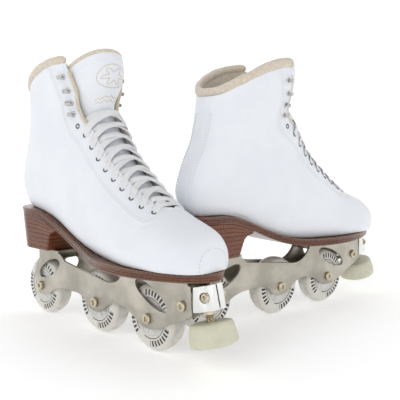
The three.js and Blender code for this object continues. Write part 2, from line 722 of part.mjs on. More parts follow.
function bracket() {
  const plan = new THREE.Shape();
  const body = PLATE_OUT - 0.5;
  plan.moveTo(-BRACKET_BACK, -body);
  plan.lineTo(3, -body);
  plan.quadraticCurveTo(7, -body, 9, -NOSE_HALF);
  plan.lineTo(BRACKET_NOSE - 3, -NOSE_HALF);
  plan.quadraticCurveTo(BRACKET_NOSE, -NOSE_HALF, BRACKET_NOSE, -NOSE_HALF + 3);
  plan.lineTo(BRACKET_NOSE, NOSE_HALF - 3);
  plan.quadraticCurveTo(BRACKET_NOSE, NOSE_HALF, BRACKET_NOSE - 3, NOSE_HALF);
  plan.lineTo(9, NOSE_HALF);
  plan.quadraticCurveTo(7, body, 3, body);
  plan.lineTo(-BRACKET_BACK, body);
  plan.closePath();
  let made = solid(onStem(extrudeZ(plan, BRACKET_LOW, BRACKET_HIGH, 4)));
  const keep = new THREE.BoxGeometry(80, 80, 60);
  keep.translate(PLATE_FRONT + 3 * CLEAR + 2 + 40, 0, 60);
  made = made.intersect(solid(keep));
  const lug = new THREE.Shape();
  lug.moveTo(BRACKET_BOLT.x - 10, 49);
  lug.lineTo(PLATE_FRONT - 2, 50.5);
  lug.lineTo(PLATE_FRONT, 56);
  lug.lineTo(PLATE_FRONT + 8, 56);
  lug.lineTo(PLATE_FRONT + 8, WEB_BOTTOM - CLEAR);
  lug.lineTo(BRACKET_BOLT.x - 10, WEB_BOTTOM - CLEAR);
  lug.closePath();
  made = made.add(solid(extrudeY(lug, -WEB_Y, WEB_Y)));
  const r = STEM_D / 2 + CLEAR + 0.1;
  made = made.subtract(solid(onStem(lathed([[0, 0], [r, 0], [r, 80], [0, 80]], 14))));
  const slit = new THREE.BoxGeometry(30, 1.6, 60);
  slit.translate(15, 0, 35);
  made = made.subtract(solid(onStem(slit)));
  const across = (d, x, z) => solid(turnedY([[0, -30], [d / 2, -30], [d / 2, 30], [0, 30]], x, z, 12));
  made = made.subtract(across(6 + 4 * CLEAR, BRACKET_BOLT.x, BRACKET_BOLT.z));
  const c = clampBoltAt();
  made = made.subtract(across(5 + 4 * CLEAR, c.x, c.z));
  for (const side of [1, -1]) {
    const [y0, y1] = [NOSE_HALF, NOSE_HALF + 12].map((y) => side * y);
    const sunk = [[0, y0], [CLAMP_HEAD_D / 2 + 2 * CLEAR, y0], [CLAMP_HEAD_D / 2 + 2 * CLEAR, y1], [0, y1]];
    made = made.subtract(solid(turnedY(side > 0 ? sunk : sunk.toReversed(), c.x, c.z, 14)));
  }
  return geometryOf(made);
}

function clampBoltAt() {
  return STOP_AT.clone().addScaledVector(STOP_AXIS, CLAMP_BOLT_UP)
    .add(new THREE.Vector3(Math.cos(rad(STOP_TILT)), 0, Math.sin(rad(STOP_TILT))).multiplyScalar(CLAMP_BOLT_AHEAD));
}

// A bolt along y: head on the medial side, nut on the lateral side.
function crossBolt(d, grip, x, z, head = BOLT_HEAD_D, high = BOLT_HEAD_H) {
  const y = grip + CLEAR;
  return turnedY([[0, -y - high], [head / 2 - 0.8, -y - high], [head / 2, -y - high + 0.8],
    [head / 2, -y], [d / 2, -y], [d / 2, y], [head / 2, y], [head / 2, y + high - 0.8],
    [head / 2 - 0.8, y + high], [0, y + high]], x, z, 10);
}

// ---------------------------------------------------------------- wheels
const TREAD_HALF = 1.8;        // half width of the flat worn on each tread
const RING_SIDES = 20;

function tyre(x) {
  const [r, h, bore] = [WHEEL_D / 2, TYRE_W / 2, HUB_D / 2 + CLEAR];
  const profile = [[bore, -h + 1.2], [r - 8, -h], [r - 3.4, -h + 2.2], [r - 0.8, -h + 5.6], [r, -TREAD_HALF]];
  const other = profile.toReversed().map(([a, y]) => [a, -y]);
  return turnedY([...profile, ...other, profile[0]], x, AXLE_Z, RING_SIDES);
}

function hub(x) {
  const [out, half, seat] = [HUB_D / 2, TYRE_W / 2 - 1.2, BEARING_D / 2 + CLEAR];
  const lip = BEARING_W - 4;
  return turnedY([[seat, -half], [out, -half], [out, half], [seat, half], [seat, lip],
    [seat - 3, lip], [seat - 3, -lip], [seat, -lip], [seat, -half]], x, AXLE_Z, 16);
}

// Two ball bearings with the sleeve between them, drawn as one turned ring.
function bearings(x) {
  const [r, half, bore] = [BEARING_D / 2, PLATE_IN - CLEAR, AXLE_D / 2 + CLEAR];
  const inner = half - BEARING_W + 0.6;
  return turnedY([[bore, -half], [r, -half], [r, -inner], [bore + 2, -inner], [bore + 2, inner],
    [r, inner], [r, half], [bore, half], [bore, -half]], x, AXLE_Z, 10);
}

// ---------------------------------------------------------------- assembly
const FINISH = {
  leather: { color: 0xe6eaf0, roughness: 0.42, metalness: 0 },
  lining: { color: 0xe2d6c2, roughness: 0.9, metalness: 0 },
  sole: { color: 0x6e3d24, roughness: 0.5, metalness: 0 },
  heel: { color: 0x7a482e, roughness: 0.5, metalness: 0 },
  aluminium: { color: 0xb9b2a6, roughness: 0.35, metalness: 0.9 },
  chrome: { color: 0xd8dade, roughness: 0.12, metalness: 1 },
  brass: { color: 0xc9b07a, roughness: 0.3, metalness: 1 },
  urethane: { color: 0xcfc9bd, roughness: 0.35, metalness: 0 },
  rubber: { color: 0xd6d3be, roughness: 0.6, metalness: 0 },
  lace: { color: 0xf2f3f5, roughness: 0.85, metalness: 0 },
};

// The pieces of one skate, each as [name, geometry, finish].
function leftPieces() {
  const c = clampBoltAt();
  const pieces = [
    ['leather_upper', upper(), 'leather'],
    ['tongue', tongue(), 'leather'],
    ['padded_collar', collar(), 'lining'],
    ['footbed', footbed(), 'lining'],
    ['lace', lace(), 'lace'],
    ['outsole', outsole(), 'sole'],
    ['stacked_heel', heel(), 'heel'],
    ['lateral_side_plate', sidePlate(1), 'aluminium'],
    ['medial_side_plate', sidePlate(-1), 'aluminium'],
    ['heel_mounting_plate', heelPlate(), 'aluminium'],
    ['sole_mounting_plate', solePlate(), 'aluminium'],
    ['stop_clamp_bracket', bracket(), 'chrome'],
    ['bracket_bolt', crossBolt(6, PLATE_OUT, BRACKET_BOLT.x, BRACKET_BOLT.z), 'brass'],
    ['clamp_bolt', crossBolt(5, NOSE_HALF, c.x, c.z, CLAMP_HEAD_D, 2.6), 'brass'],
    ['stop_jam_nut', jamNut(), 'brass'],
    ['toe_stop_stem', stopStem(), 'brass'],
    ['toe_stop_pad', stopPad(), 'rubber'],
  ];
  for (const [place, x] of Object.entries(WHEEL_X)) {
    pieces.push(
      [place + '_tyre', tyre(x), 'urethane'],
      [place + '_hub', hub(x), 'urethane'],
      [place + '_bearings', bearings(x), 'chrome'],
      [place + '_axle', crossBolt(AXLE_D, PLATE_OUT, x, AXLE_Z), 'brass'],
    );
  }
  return pieces;
}

const pair = new THREE.Group();
const pieces = leftPieces();
for (const [hand, stance] of Object.entries(STANCE)) {
  const skate = new THREE.Group();
  for (const [name, geometry, finish] of pieces) {
    const shape = hand === 'left' ? geometry : mirrored(geometry);
    const mesh = new THREE.Mesh(shape, new THREE.MeshStandardMaterial(FINISH[finish]));
    mesh.name = hand + '_' + name;
    skate.add(mesh);
  }
  skate.position.set(stance.x, stance.y, 0);
  skate.rotation.z = rad(stance.turn);
  pair.add(skate);
}

// The origin lies on the floor under the middle of the pair's box.
pair.updateMatrixWorld(true);
const box = new THREE.Box3().setFromObject(pair, true);
pair.position.set(-(box.min.x + box.max.x) / 2, -(box.min.y + box.max.y) / 2, -box.min.z);

export default pair;
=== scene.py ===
"""Looks of a pair of figure skates on inline frames: lace-up leather boots, stacked
heels, aluminium frames with three urethane wheels each, and a clamped toe stop.

Each skate is worked out in its own frame in millimetres: x runs to the toe, y to the
lateral (outer) side and z up from the floor, with the origin under the middle axle.
Skate.place puts such points into the row's frame in metres."""
import bmesh
import bpy
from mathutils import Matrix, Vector
import numpy as np


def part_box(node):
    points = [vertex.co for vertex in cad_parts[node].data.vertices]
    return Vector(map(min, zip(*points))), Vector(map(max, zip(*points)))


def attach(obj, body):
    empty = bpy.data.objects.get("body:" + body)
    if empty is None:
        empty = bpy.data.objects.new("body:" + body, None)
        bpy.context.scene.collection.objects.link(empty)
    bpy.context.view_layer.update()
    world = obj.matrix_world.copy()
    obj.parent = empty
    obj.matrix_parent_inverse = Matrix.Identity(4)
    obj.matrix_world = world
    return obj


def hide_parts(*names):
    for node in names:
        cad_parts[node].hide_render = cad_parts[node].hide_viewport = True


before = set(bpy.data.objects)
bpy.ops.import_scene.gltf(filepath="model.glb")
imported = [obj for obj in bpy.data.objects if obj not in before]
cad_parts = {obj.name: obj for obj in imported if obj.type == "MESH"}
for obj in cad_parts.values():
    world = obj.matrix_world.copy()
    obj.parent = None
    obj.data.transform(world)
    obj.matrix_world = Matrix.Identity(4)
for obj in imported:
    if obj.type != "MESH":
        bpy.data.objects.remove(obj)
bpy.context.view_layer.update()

# ------------------------------------------------------------------ driving sizes, mm
AXLE_Z = 34.0
WHEEL_R = 33.56                # down to the flat that each wheel stands on
AXLES = {"rear": -106.0, "middle": 0.0, "front": 85.0}
PLATE_IN = 11.6
PLATE_OUT = 14.0
BOLT_GRIP = PLATE_OUT + 0.05   # middle to the underside of a bolt head
SOLE_TOP = 90.0
SOLE_T = 8.5
HEEL_RISE = 37.5
RISE_START = 42.0
RISE_RUN = 145.0
HEEL_BASE = 80.5
LEATHER = 1.9                  # outer leather
WALL = 3.2                     # leather with its lining
TONGUE_GAP = 5.8
COLLAR_R = 4.2
LACE_W = 6.4
LACE_T = 1.1
ROWS = 10
LACED_ROWS = 9
EYELET_EDGE = 10.0
STOP_TILT = np.radians(14.0)
STOP_AT = np.array([160.0, 0.0, 33.0])
STOP_AXIS = np.array([-np.sin(STOP_TILT), 0.0, np.cos(STOP_TILT)])
STOP_ACROSS = np.array([np.cos(STOP_TILT), 0.0, np.sin(STOP_TILT)])
SIDEWAYS = np.array([0.0, 1.0, 0.0])
FINE = 2       # grid density


# ------------------------------------------------------------------ where a skate stands
def centre(node):
    low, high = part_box(node)
    return (np.array(low) + np.array(high)) / 2


class Skate:
    """One skate's place, read from its axles. hand is left or right."""

    def __init__(self, hand):
        self.hand = hand
        self.mirror = hand == "right"
        self.body = hand + "_skate"
        toe = centre(hand + "_front_axle") - centre(hand + "_rear_axle")
        self.toe = np.array([toe[0], toe[1], 0.0]) / np.hypot(toe[0], toe[1])
        turn = -1.0 if self.mirror else 1.0
        self.lateral = turn * np.array([-self.toe[1], self.toe[0], 0.0])
        self.origin = centre(hand + "_middle_axle") - np.array([0, 0, AXLE_Z / 1000])

    def place(self, points):
        """Skate millimetres to row metres."""
        p = np.asarray(points, float) / 1000
        return (self.origin + p[..., :1] * self.toe + p[..., 1:2] * self.lateral
                + p[..., 2:] * np.array([0.0, 0.0, 1.0]))


SKATES = [Skate("left"), Skate("right")]


# ------------------------------------------------------------------ mesh helpers
def signed_volume(points, faces):
    """Six times the volume inside a closed set of faces, by fans from each first corner."""
    total = 0.0
    for size in sorted({len(f) for f in faces}):
        group = np.array([f for f in faces if len(f) == size])
        for k in range(1, size - 1):
            a, b, c = points[group[:, 0]], points[group[:, k]], points[group[:, k + 1]]
            total += np.einsum("ij,ij->i", a, np.cross(b, c)).sum()
    return total


def make_piece(skate, name, points, faces, uv=None, sharp=38.0, local=True):
    """A mesh object from points in skate millimetres, faces turned outwards.

    uv holds one pair for each point."""
    points = np.asarray(points, float).reshape(-1, 3)
    at = skate.place(points) if local else points
    faces = [tuple(int(i) for i in f) for f in faces]
    if signed_volume(at - at.mean(0), faces) < 0:
        faces = [f[::-1] for f in faces]
    mesh = bpy.data.meshes.new(name)
    mesh.from_pydata(at.tolist(), [], faces)
    if uv is not None:
        layer = mesh.uv_layers.new(name="skin")
        loops = np.zeros(len(mesh.loops), np.int32)
        mesh.loops.foreach_get("vertex_index", loops)
        layer.data.foreach_set("uv", np.asarray(uv, np.float32).reshape(-1, 2)[loops].ravel())
    mesh.update()
    mesh.validate()
    mesh.shade_smooth()
    mesh.set_sharp_from_angle(angle=np.radians(sharp))
    piece = bpy.data.objects.new(name, mesh)
    bpy.context.scene.collection.objects.link(piece)
    return piece


def grid_faces(rows, cols, wrap_rows=False, wrap_cols=False, first=0):
    """Quads of a grid of points stored row by row."""
    i = np.arange(rows if wrap_rows else rows - 1)
    j = np.arange(cols if wrap_cols else cols - 1)
    i, j = np.meshgrid(i, j, indexing="ij")
    i2, j2 = (i + 1) % rows, (j + 1) % cols
    quads = np.stack([i * cols + j, i2 * cols + j, i2 * cols + j2, i * cols + j2], -1)
    return (quads.reshape(-1, 4) + first).tolist()


def grid_uv(rows, cols, u_scale=1.0, v_scale=1.0):
    """u along the columns, v along the rows, both 0 to 1 before scaling."""
    v, u = np.meshgrid(np.linspace(0, v_scale, rows), np.linspace(0, u_scale, cols), indexing="ij")
    return np.stack([u, v], -1).reshape(-1, 2)


def tube(skate, name, rings, uv=None, closed_path=False, **more):
    """A closed skin over rings of points, shape (rings, points, 3), ends capped flat."""
    rows, cols = rings.shape[:2]
    faces = grid_faces(rows, cols, wrap_rows=closed_path, wrap_cols=True)
    if not closed_path:
        faces.append(list(range(cols))[::-1])
        faces.append([(rows - 1) * cols + j for j in range(cols)])
    uv = grid_uv(rows, cols) if uv is None else uv
    return make_piece(skate, name, rings, faces, uv, **more)


def shell(skate, name, outer, inner, uv=None, joined=0, pole=False, **more):
    """A closed wall between two grids of the same shape, joined round their border.

    The first joined rows have their two end columns together, so they need no side wall,
    and a pole closes the first row of each grid in one point."""
    rows, cols = outer.shape[:2]
    n = rows * cols
    faces = grid_faces(rows, cols)
    faces += [f[::-1] for f in grid_faces(rows, cols, first=n)]
    walls = [((rows - 1) * cols + j, (rows - 1) * cols + j + 1) for j in range(cols - 1)]
    walls += [(i * cols, (i + 1) * cols) for i in range(joined, rows - 1)]
    walls += [((i + 1) * cols + cols - 1, i * cols + cols - 1) for i in range(joined, rows - 1)]
    if not pole:
        walls += [(j + 1, j) for j in range(cols - 1)]
    faces += [[a, b, b + n, a + n] for a, b in walls]
    uv = grid_uv(rows, cols) if uv is None else uv
    return make_piece(skate, name, np.concatenate([outer.reshape(-1, 3), inner.reshape(-1, 3)]),
                      faces, np.concatenate([uv, uv]), **more)


def merge_points(piece, distance=2e-5):
    """Merges points that lie together, as at a seam or a pole."""
    work = bmesh.new()
    work.from_mesh(piece.data)
    bmesh.ops.remove_doubles(work, verts=work.verts, dist=distance)
    work.to_mesh(piece.data)
    work.free()
    return piece


def join(pieces, name):
    """One object from several, with their materials kept."""
    with bpy.context.temp_override(active_object=pieces[0], selected_editable_objects=pieces,
                                   selected_objects=pieces, object=pieces[0]):
        bpy.ops.object.join()
    pieces[0].name = name
    pieces[0].data.name = name
    return pieces[0]


def catmull(points, count):
    """count points on the Catmull-Rom curve through the given ones, even by number."""
    p = np.asarray(points, float)
    t = np.linspace(0, len(p) - 1, count)
    i = np.minimum(t.astype(int), len(p) - 2)
    f = (t - i)[:, None]
    a, b = p[np.maximum(i - 1, 0)], p[i]
    c, d = p[i + 1], p[np.minimum(i + 2, len(p) - 1)]
    return b + 0.5 * f * (c - a + f * (2 * a - 5 * b + 4 * c - d + f * (3 * (b - c) + d - a)))


def way_along(points):
    """Distance along a polyline at each of its points."""
    return np.r_[0, np.cumsum(np.linalg.norm(np.diff(points, axis=0), axis=1))]


def even(points, count):
    """Resamples a polyline to count points at even distances along it."""
    p = np.asarray(points, float)
    way = way_along(p)
    at = np.linspace(0, way[-1], count)
    return np.stack([np.interp(at, way, p[:, k]) for k in range(p.shape[1])], -1)


def unit(v):
    return v / np.maximum(np.linalg.norm(v, axis=-1, keepdims=True), 1e-9)


def along_frame(path, up):
    """Tangent, side and lifted directions along a path, from a rough upward direction."""
    tangent = unit(np.gradient(path, axis=0))
    side = unit(np.cross(tangent, up))
    return tangent, side, unit(np.cross(side, tangent))


def sweep(path, up, section):
    """Rings of a section (count, 2) carried along a path: first value sideways, second up.

    section may have one shape for each path point, as (points, count, 2)."""
    _, side, lift = along_frame(path, up)
    section = np.broadcast_to(section, (len(path),) + np.shape(section)[-2:])
    return (path[:, None] + section[..., :1] * side[:, None] + section[..., 1:] * lift[:, None])


def oval(width, height, count, power=2.0):
    """A closed superellipse, |x/w|^p + |y/h|^p = 1, as points round it."""
    turn = np.linspace(0, 2 * np.pi, count, endpoint=False)
    c, s = np.cos(turn), np.sin(turn)
    return np.stack([width / 2 * np.sign(c) * abs(c) ** (2 / power),
                     height / 2 * np.sign(s) * abs(s) ** (2 / power)], -1)


def circle(across, other, count):
    """Angles round a circle, and the unit directions at them."""
    turn = np.linspace(0, 2 * np.pi, count, endpoint=False)
    return turn, np.cos(turn)[:, None] * across + np.sin(turn)[:, None] * other


def hexagon(turn):
    """Reach of a hexagon of half width 1 at each angle."""
    return 1 / np.cos((turn % (np.pi / 3)) - np.pi / 6)


def turned(skate, name, profile, at, axis, segments=96, **more):
    """A lathe: profile rows of (radius, way along the axis), turned about axis through at."""
    profile = np.asarray(profile, float)
    axis = unit(np.asarray(axis, float))
    across = unit(np.cross(axis, [0.3, 0.2, 1.0] if abs(axis[2]) < 0.9 else [1.0, 0.1, 0.0]))
    turn, ring = circle(across, np.cross(axis, across), segments)
    rings = (np.asarray(at, float) + profile[:, 1, None, None] * axis
             + profile[:, 0, None, None] * ring)
    closed = np.allclose(profile[0], profile[-1])
    if closed:
        rings = rings[:-1]
    way = way_along(profile)[:len(rings)]
    u = np.broadcast_to(turn / (2 * np.pi), (len(rings), segments))
    v = np.broadcast_to((profile[:len(rings), 0] if more.pop("radial_uv", False) else way)[:, None],
                        (len(rings), segments))
    uv = np.stack([u, v], -1).reshape(-1, 2)
    return tube(skate, name, rings, uv, closed_path=closed, **more)


def rounded(corners, radius=0.5, steps=3):
    """A profile with each inner corner cut by a small arc of the given reach."""
    c = np.asarray(corners, float)
    out = [c[0]]
    for a, b, d in zip(c, c[1:], c[2:]):
        r = min(radius, 0.45 * np.linalg.norm(a - b), 0.45 * np.linalg.norm(d - b))
        p, q = b + unit(a - b) * r, b + unit(d - b) * r
        for t in np.linspace(0, 1, steps + 1):
            out.append((1 - t) ** 2 * p + 2 * t * (1 - t) * b + t * t * q)
    return np.array(out + [c[-1]])


# ------------------------------------------------------------------ the last
# Sections of the boot's form from toe tip round the heel to the cuff: top x, top z,
# bottom x, bottom z, half width, place of the widest point, roundness of the top.
SECTIONS = np.array([
    [163.5, 96, 163.5, 96, 0, 0.6, 2.2], [161.5, 107, 161.5, 88, 13, 0.6, 2.2],
    [156, 119, 156, 84, 25, 0.62, 2.2], [145, 128, 145, 82, 33.5, 0.64, 2.1],
    [127, 135.5, 127, 80, 40, 0.66, 1.9], [105, 145, 106, 80, 44, 0.68, 1.65],
    [83, 161, 81, 80, 45.5, 0.7, 1.5], [62, 181, 52, 81, 43, 0.68, 1.5],
    [43, 202, 16, 84, 37, 0.62, 1.6], [31, 221, -24, 93, 33, 0.55, 1.8],
    [27, 234, -70, 112, 31.5, 0.5, 2], [25, 244, -117, 122, 30.5, 0.5, 2.1],
    [24, 252, -137, 146, 30.5, 0.52, 2.2], [23, 260, -130, 176, 32, 0.52, 2.2],
    [22, 268, -116, 203, 35, 0.52, 2.2], [20, 277, -108, 232, 38, 0.52, 2.2],
    [17, 289, -104, 254, 40, 0.52, 2.2], [14, 303, -101, 275, 41, 0.52, 2.2],
    [12, 318, -99, 296, 41.5, 0.52, 2.2]])
LAST = len(SECTIONS) - 1
THROAT_START = 4.85
SHAFT_START = 11.0              # a place on the form that lies below the whole topline
HALVINGS = 34
THROAT = np.array([[4.85, 0], [5, 7], [5.3, 12], [6, 15], [7, 17.5], [8, 19], [9, 20.5], [10, 22],
                   [11, 23], [12, 24], [13, 26], [14, 28.5], [15, 32], [16, 35], [19, 37]])
TOPLINE = [[-150, 246], [-125, 246], [-104, 251], [-87, 261.5], [-68, 271], [-50, 278],
           [-28, 282.5], [-4, 284], [20, 284], [60, 284]]
TOPLINE_FINE = catmull(TOPLINE, 200)


def smooth_step(v):
    v = np.clip(v, 0, 1)
    return v * v * (3 - 2 * v)


def sole_top(x):
    """Height of the outsole's top: flat under the ball, then climbing to the heel seat."""
    u = np.clip((RISE_START - np.asarray(x, float)) / RISE_RUN, 0, 1)
    return SOLE_TOP + HEEL_RISE * smooth_step(u ** 1.25)


def section_value(s, k):
    """Value k of the form at place s, on a Catmull-Rom curve through the sections."""
    s = np.asarray(s, float)
    i = np.clip(np.floor(s).astype(int), 0, LAST - 1)
    t = s - i
    a, b = SECTIONS[np.clip(i - 1, 0, LAST), k], SECTIONS[i, k]
    c, d = SECTIONS[np.clip(i + 1, 0, LAST), k], SECTIONS[np.clip(i + 2, 0, LAST), k]
    return b + 0.5 * t * (c - a + t * (2 * a - 5 * b + 4 * c - d + t * (3 * (b - c) + d - a)))


def form(s, a, side, inset=0.0):
    """A point of the boot's form: place s along it, a from 0 on the instep line to 1 on the
    sole or back line, side +1 lateral or -1 medial, inset inwards from its outer face."""
    s, a, side, inset = np.broadcast_arrays(*(np.asarray(v, float) for v in (s, a, side, inset)))
    tx, tz, bx, bz, w, q, power = (section_value(s, k) for k in range(7))
    span = np.maximum(np.hypot(bx - tx, bz - tz), 1e-6)
    dx, dz = (bx - tx) / span, (bz - tz) / span
    cut = np.minimum(inset, 0.45 * span)
    tx, tz, bx, bz = tx + dx * cut, tz + dz * cut, bx - dx * cut, bz - dz * cut
    w = np.maximum(w - inset, 0)
    across = np.sin(np.pi * np.clip(a, 0, 1))
    upper = q * (1 - (1 - across ** power) ** (1 / power))
    lower = q + (1 - q) * (1 - across ** 2.5) ** (1 / 2.5)
    share = np.where(a < 0.5, upper, lower)
    x = tx + (bx - tx) * share
    z = np.maximum(tz + (bz - tz) * share, sole_top(x) + inset)
    return np.stack([x, side * w * across, z], -1)


def throat_half(s):
    return np.interp(s, THROAT[:, 0], THROAT[:, 1])


def angle_at(s, y, inset=0.0):
    """The angle a where the form at place s is y wide of the middle."""
    w = np.maximum(1.0, section_value(s, 4) - inset)
    return np.arcsin(np.clip(y / w, 0, 1)) / np.pi


def facing_edge(s):
    return np.where(s < THROAT_START, 0.0, angle_at(s, throat_half(s)))


def outward(s, a, side, inset=0.0):
    """Outward direction of the form, from its two tangents."""
    e = 0.01
    forward = form(s + e, a, side, inset) - form(s - e, a, side, inset)
    around = form(s, a + e, side, inset) - form(s, a - e, side, inset)
    return unit(np.cross(around, forward) * np.asarray(side, float)[..., None])


def angle_beyond(s, way):
    """Angles that lie a given way round the form from the facing's edge, for each s."""
    s = np.atleast_1d(np.asarray(s, float))
    steps = np.linspace(0, 1, 500)
    edge = facing_edge(s)
    a = edge[:, None] + (1 - edge[:, None]) * steps
    p = form(s[:, None], a, 1.0)
    run = np.concatenate([np.zeros((len(s), 1)),
                          np.cumsum(np.linalg.norm(np.diff(p, axis=1), axis=-1), axis=1)], 1)
    return np.array([np.interp(way, run[i], a[i]) for i in range(len(s))])


def meet_topline(shape, angle, inset, lift=0.0):
    """Places s where the form meets the topline, by halving; angle gives a at each place."""
    low, high = np.full(shape, SHAFT_START), np.full(shape, float(LAST))
    for _ in range(HALVINGS):
        mid = (low + high) / 2
        p = form(mid, angle(mid), 1.0, inset)
        under = p[..., 2] < np.interp(p[..., 0], TOPLINE_FINE[:, 0], TOPLINE_FINE[:, 1]) + lift
        low, high = np.where(under, mid, low), np.where(under, high, mid)
    return mid


def eyelet_places():
    """Places s of the eyelet rows, evenly spaced along the facing."""
    fine = np.linspace(5.15, 11.2, 243)
    p = form(fine, angle_beyond(fine, EYELET_EDGE), 1.0)
    way = way_along(p)
    return np.interp(np.linspace(0, way[-1], ROWS), way, fine)


EYELET_S = eyelet_places()
EYELET_A = angle_beyond(EYELET_S, EYELET_EDGE)


def pressed(s, a, side, inset):
    """A point of the form, flattened between the laced facings."""
    s, a = np.broadcast_arrays(np.asarray(s, float), np.asarray(a, float))
    edge = angle_at(s, throat_half(s))
    p, q = form(s, a, side, inset), form(s, edge, side, inset)
    crown = 0.4 + 0.6 * smooth_step((s - 10) / 4)
    crown = np.where(a < edge, crown, 1.0)[..., None]
    mixed = q + (p - q) * crown
    return np.stack([mixed[..., 0], p[..., 1], mixed[..., 2]], -1)


# ------------------------------------------------------------------ boot pieces
STAY_WAYS = np.r_[np.arange(0, 21, 1.5), np.arange(21.5, 27.6, 0.6)]
TABLE_S = np.linspace(0, LAST, 220)


def way_table(ways):
    """Angles at each way from the facing's edge, for every place in TABLE_S."""
    steps = np.linspace(0, 1, 400)
    edge = facing_edge(TABLE_S)[:, None]
    p = form(TABLE_S[:, None], edge + (1 - edge) * steps, 1.0)
    run = np.linalg.norm(np.diff(p, axis=1), axis=-1).cumsum(1)
    run = np.concatenate([np.zeros((len(TABLE_S), 1)), run], 1)
    share = np.array([np.interp(ways, run[i], steps) for i in range(len(TABLE_S))])
    return edge + (1 - edge) * share


def column_angles(s, columns, table):
    """The angle of each column at its places s: the first ones keep a fixed way from the
    facing's edge, the rest divide what is left evenly down to the sole or back line."""
    fixed = table.shape[1]
    made = []
    for k in range(s.shape[1]):
        j = min(k, fixed - 1)
        a = np.interp(s[:, k], TABLE_S, table[:, j])
        share = max(0, k - fixed + 1) / (columns - fixed)
        made.append(a + (1 - a) * share)
    return np.stack(made, 1)


def skin_grid(low, rows, columns, inset, ways=STAY_WAYS):
    """Grid over the boot's wall from the vamp to the topline, one facing to the other.

    Each half has its columns from the facing's edge down to the sole or back line; the
    rows divide each column evenly between place low and where it meets the topline."""
    table = way_table(ways)
    top = meet_topline((1, columns), lambda at: column_angles(at, columns, table), inset)
    s = low + np.linspace(0, 1, rows)[:, None] * (top - low)
    a = column_angles(s, columns, table)
    s, a = np.concatenate([s, s[:, -2::-1]], 1), np.concatenate([a, a[:, -2::-1]], 1)
    side = np.ones_like(s)
    side[:, columns:] = -1.0
    return s, a, side


def facing_distance(s, a):
    """Way round the form from the facing's edge to each point."""
    steps = np.linspace(0, 1, 24)[:, None, None]
    edge = facing_edge(s)
    p = form(s, edge + (a - edge) * steps, 1.0)
    return np.linalg.norm(np.diff(p, axis=0), axis=-1).sum(0)


def upper_piece(skate):
    """Outer leather: the form's face with a raised eyestay along the facings and a raised
    backstay up the heel; its inner face lies one leather inside."""
    s, a, side = skin_grid(0.0, 92 * FINE, 26 + 34 * FINE, 0.0)
    outer = form(s, a, side)
    normal = outward(np.clip(s, 0.4, LAST), a, side)
    away = facing_distance(s, a)
    stay = 0.75 * smooth_step((25.6 - away) / 1.4) * smooth_step((s - 4.3) / 0.4)
    strip = smooth_step((13.5 - np.abs(outer[..., 1])) / 2.6) * smooth_step((-78 - outer[..., 0]) / 6)
    thick = np.maximum(stay, 0.65 * strip)
    face = outer + normal * thick[..., None]
    inner = form(s + 0.9 * np.clip(1 - s / 4, 0, 1) ** 2, a, side, LEATHER)
    inner[0] = inner[0].mean(0)
    uv = np.stack([away, s * 14], -1).reshape(-1, 2)
    joined = int(np.sum(s[:, 0] <= THROAT_START)) - 1
    piece = shell(skate, skate.hand + "_boot_leather", face, inner, uv, joined=joined, pole=True,
                  sharp=50)
    return merge_points(piece)


def lining_piece(skate):
    """Soft lining: a second skin inside the leather, from the ball of the foot up, its
    inner face rippled by the sum of two sine products."""
    s, a, side = skin_grid(3.0, 60 * FINE, 50 * FINE, 1.0, ways=np.array([0.0, 4.0]))
    outer = form(s, a, side, LEATHER + 0.1)
    ripple = 0.5 * np.sin(s * 17.0) * np.sin(a * 41.0) + 0.5 * np.sin(s * 37.0 + a * 29.0)
    inner = form(s, a, side, WALL + 0.5) - outward(s, a, side) * 0.12 * ripple[..., None]
    joined = int(np.sum(s[:, 0] <= THROAT_START)) - 1
    piece = shell(skate, skate.hand + "_boot_lining", outer, inner, joined=joined, sharp=60)
    return merge_points(piece)


def facing_path(side, first, inset=0.6, count=90):
    """Points up the edge of one facing, from the vamp to the topline."""
    top = float(meet_topline(1, lambda at: 0.12, 0.0)[0])
    s = np.linspace(first, top - 0.05, count)
    return form(s, facing_edge(s), side, inset), s


def binding_piece(skate, side, name):
    """Edge binding: a soft oval strip carried up the facing over the leather's edge."""
    path, s = facing_path(side, 10.6)
    out = outward(s, facing_edge(s) + 0.01, side)
    ring = oval(3.4, 3.8, 14, 2.6)
    rings = sweep(path, out, ring)
    return tube(skate, skate.hand + "_" + name, rings)


def topline_path(count, inset, lift, front):
    """Points round the topline from one facing over the back to the other."""
    u = np.linspace(-1, 1, count)
    angle = lambda at: 1 - np.abs(u) * (1 - facing_edge(at) - front)
    s = meet_topline(count, angle, inset, lift)
    return form(s, angle(s), np.where(u < 0, -1.0, 1.0), inset)


def collar_piece(skate):
    """Padded roll: a plump oval carried round the topline, puckered where it is sewn."""
    path = catmull(even(topline_path(160, 1.6, COLLAR_R - 0.6, 0.004), 44), 120 * FINE)
    way = way_along(path)
    swell = 1 + 0.035 * np.sin(way / 3.1) + 0.03 * np.sin(way / 7.7 + 1)
    ends = np.minimum(way, way[-1] - way)
    swell = swell * (1 - np.exp(-ends / 2.2) * 0.75)
    ring = oval(2 * COLLAR_R - 0.4, 2 * COLLAR_R + 0.8, 20, 2.2)
    rings = sweep(path, np.array([0, 0, 1.0]), ring[None] * swell[:, None, None])
    return tube(skate, skate.hand + "_collar_roll", rings)


# ------------------------------------------------------------------ tongue
TONGUE_PLACES = (4.45, 16.5)
TONGUE_LEAN = 9.0


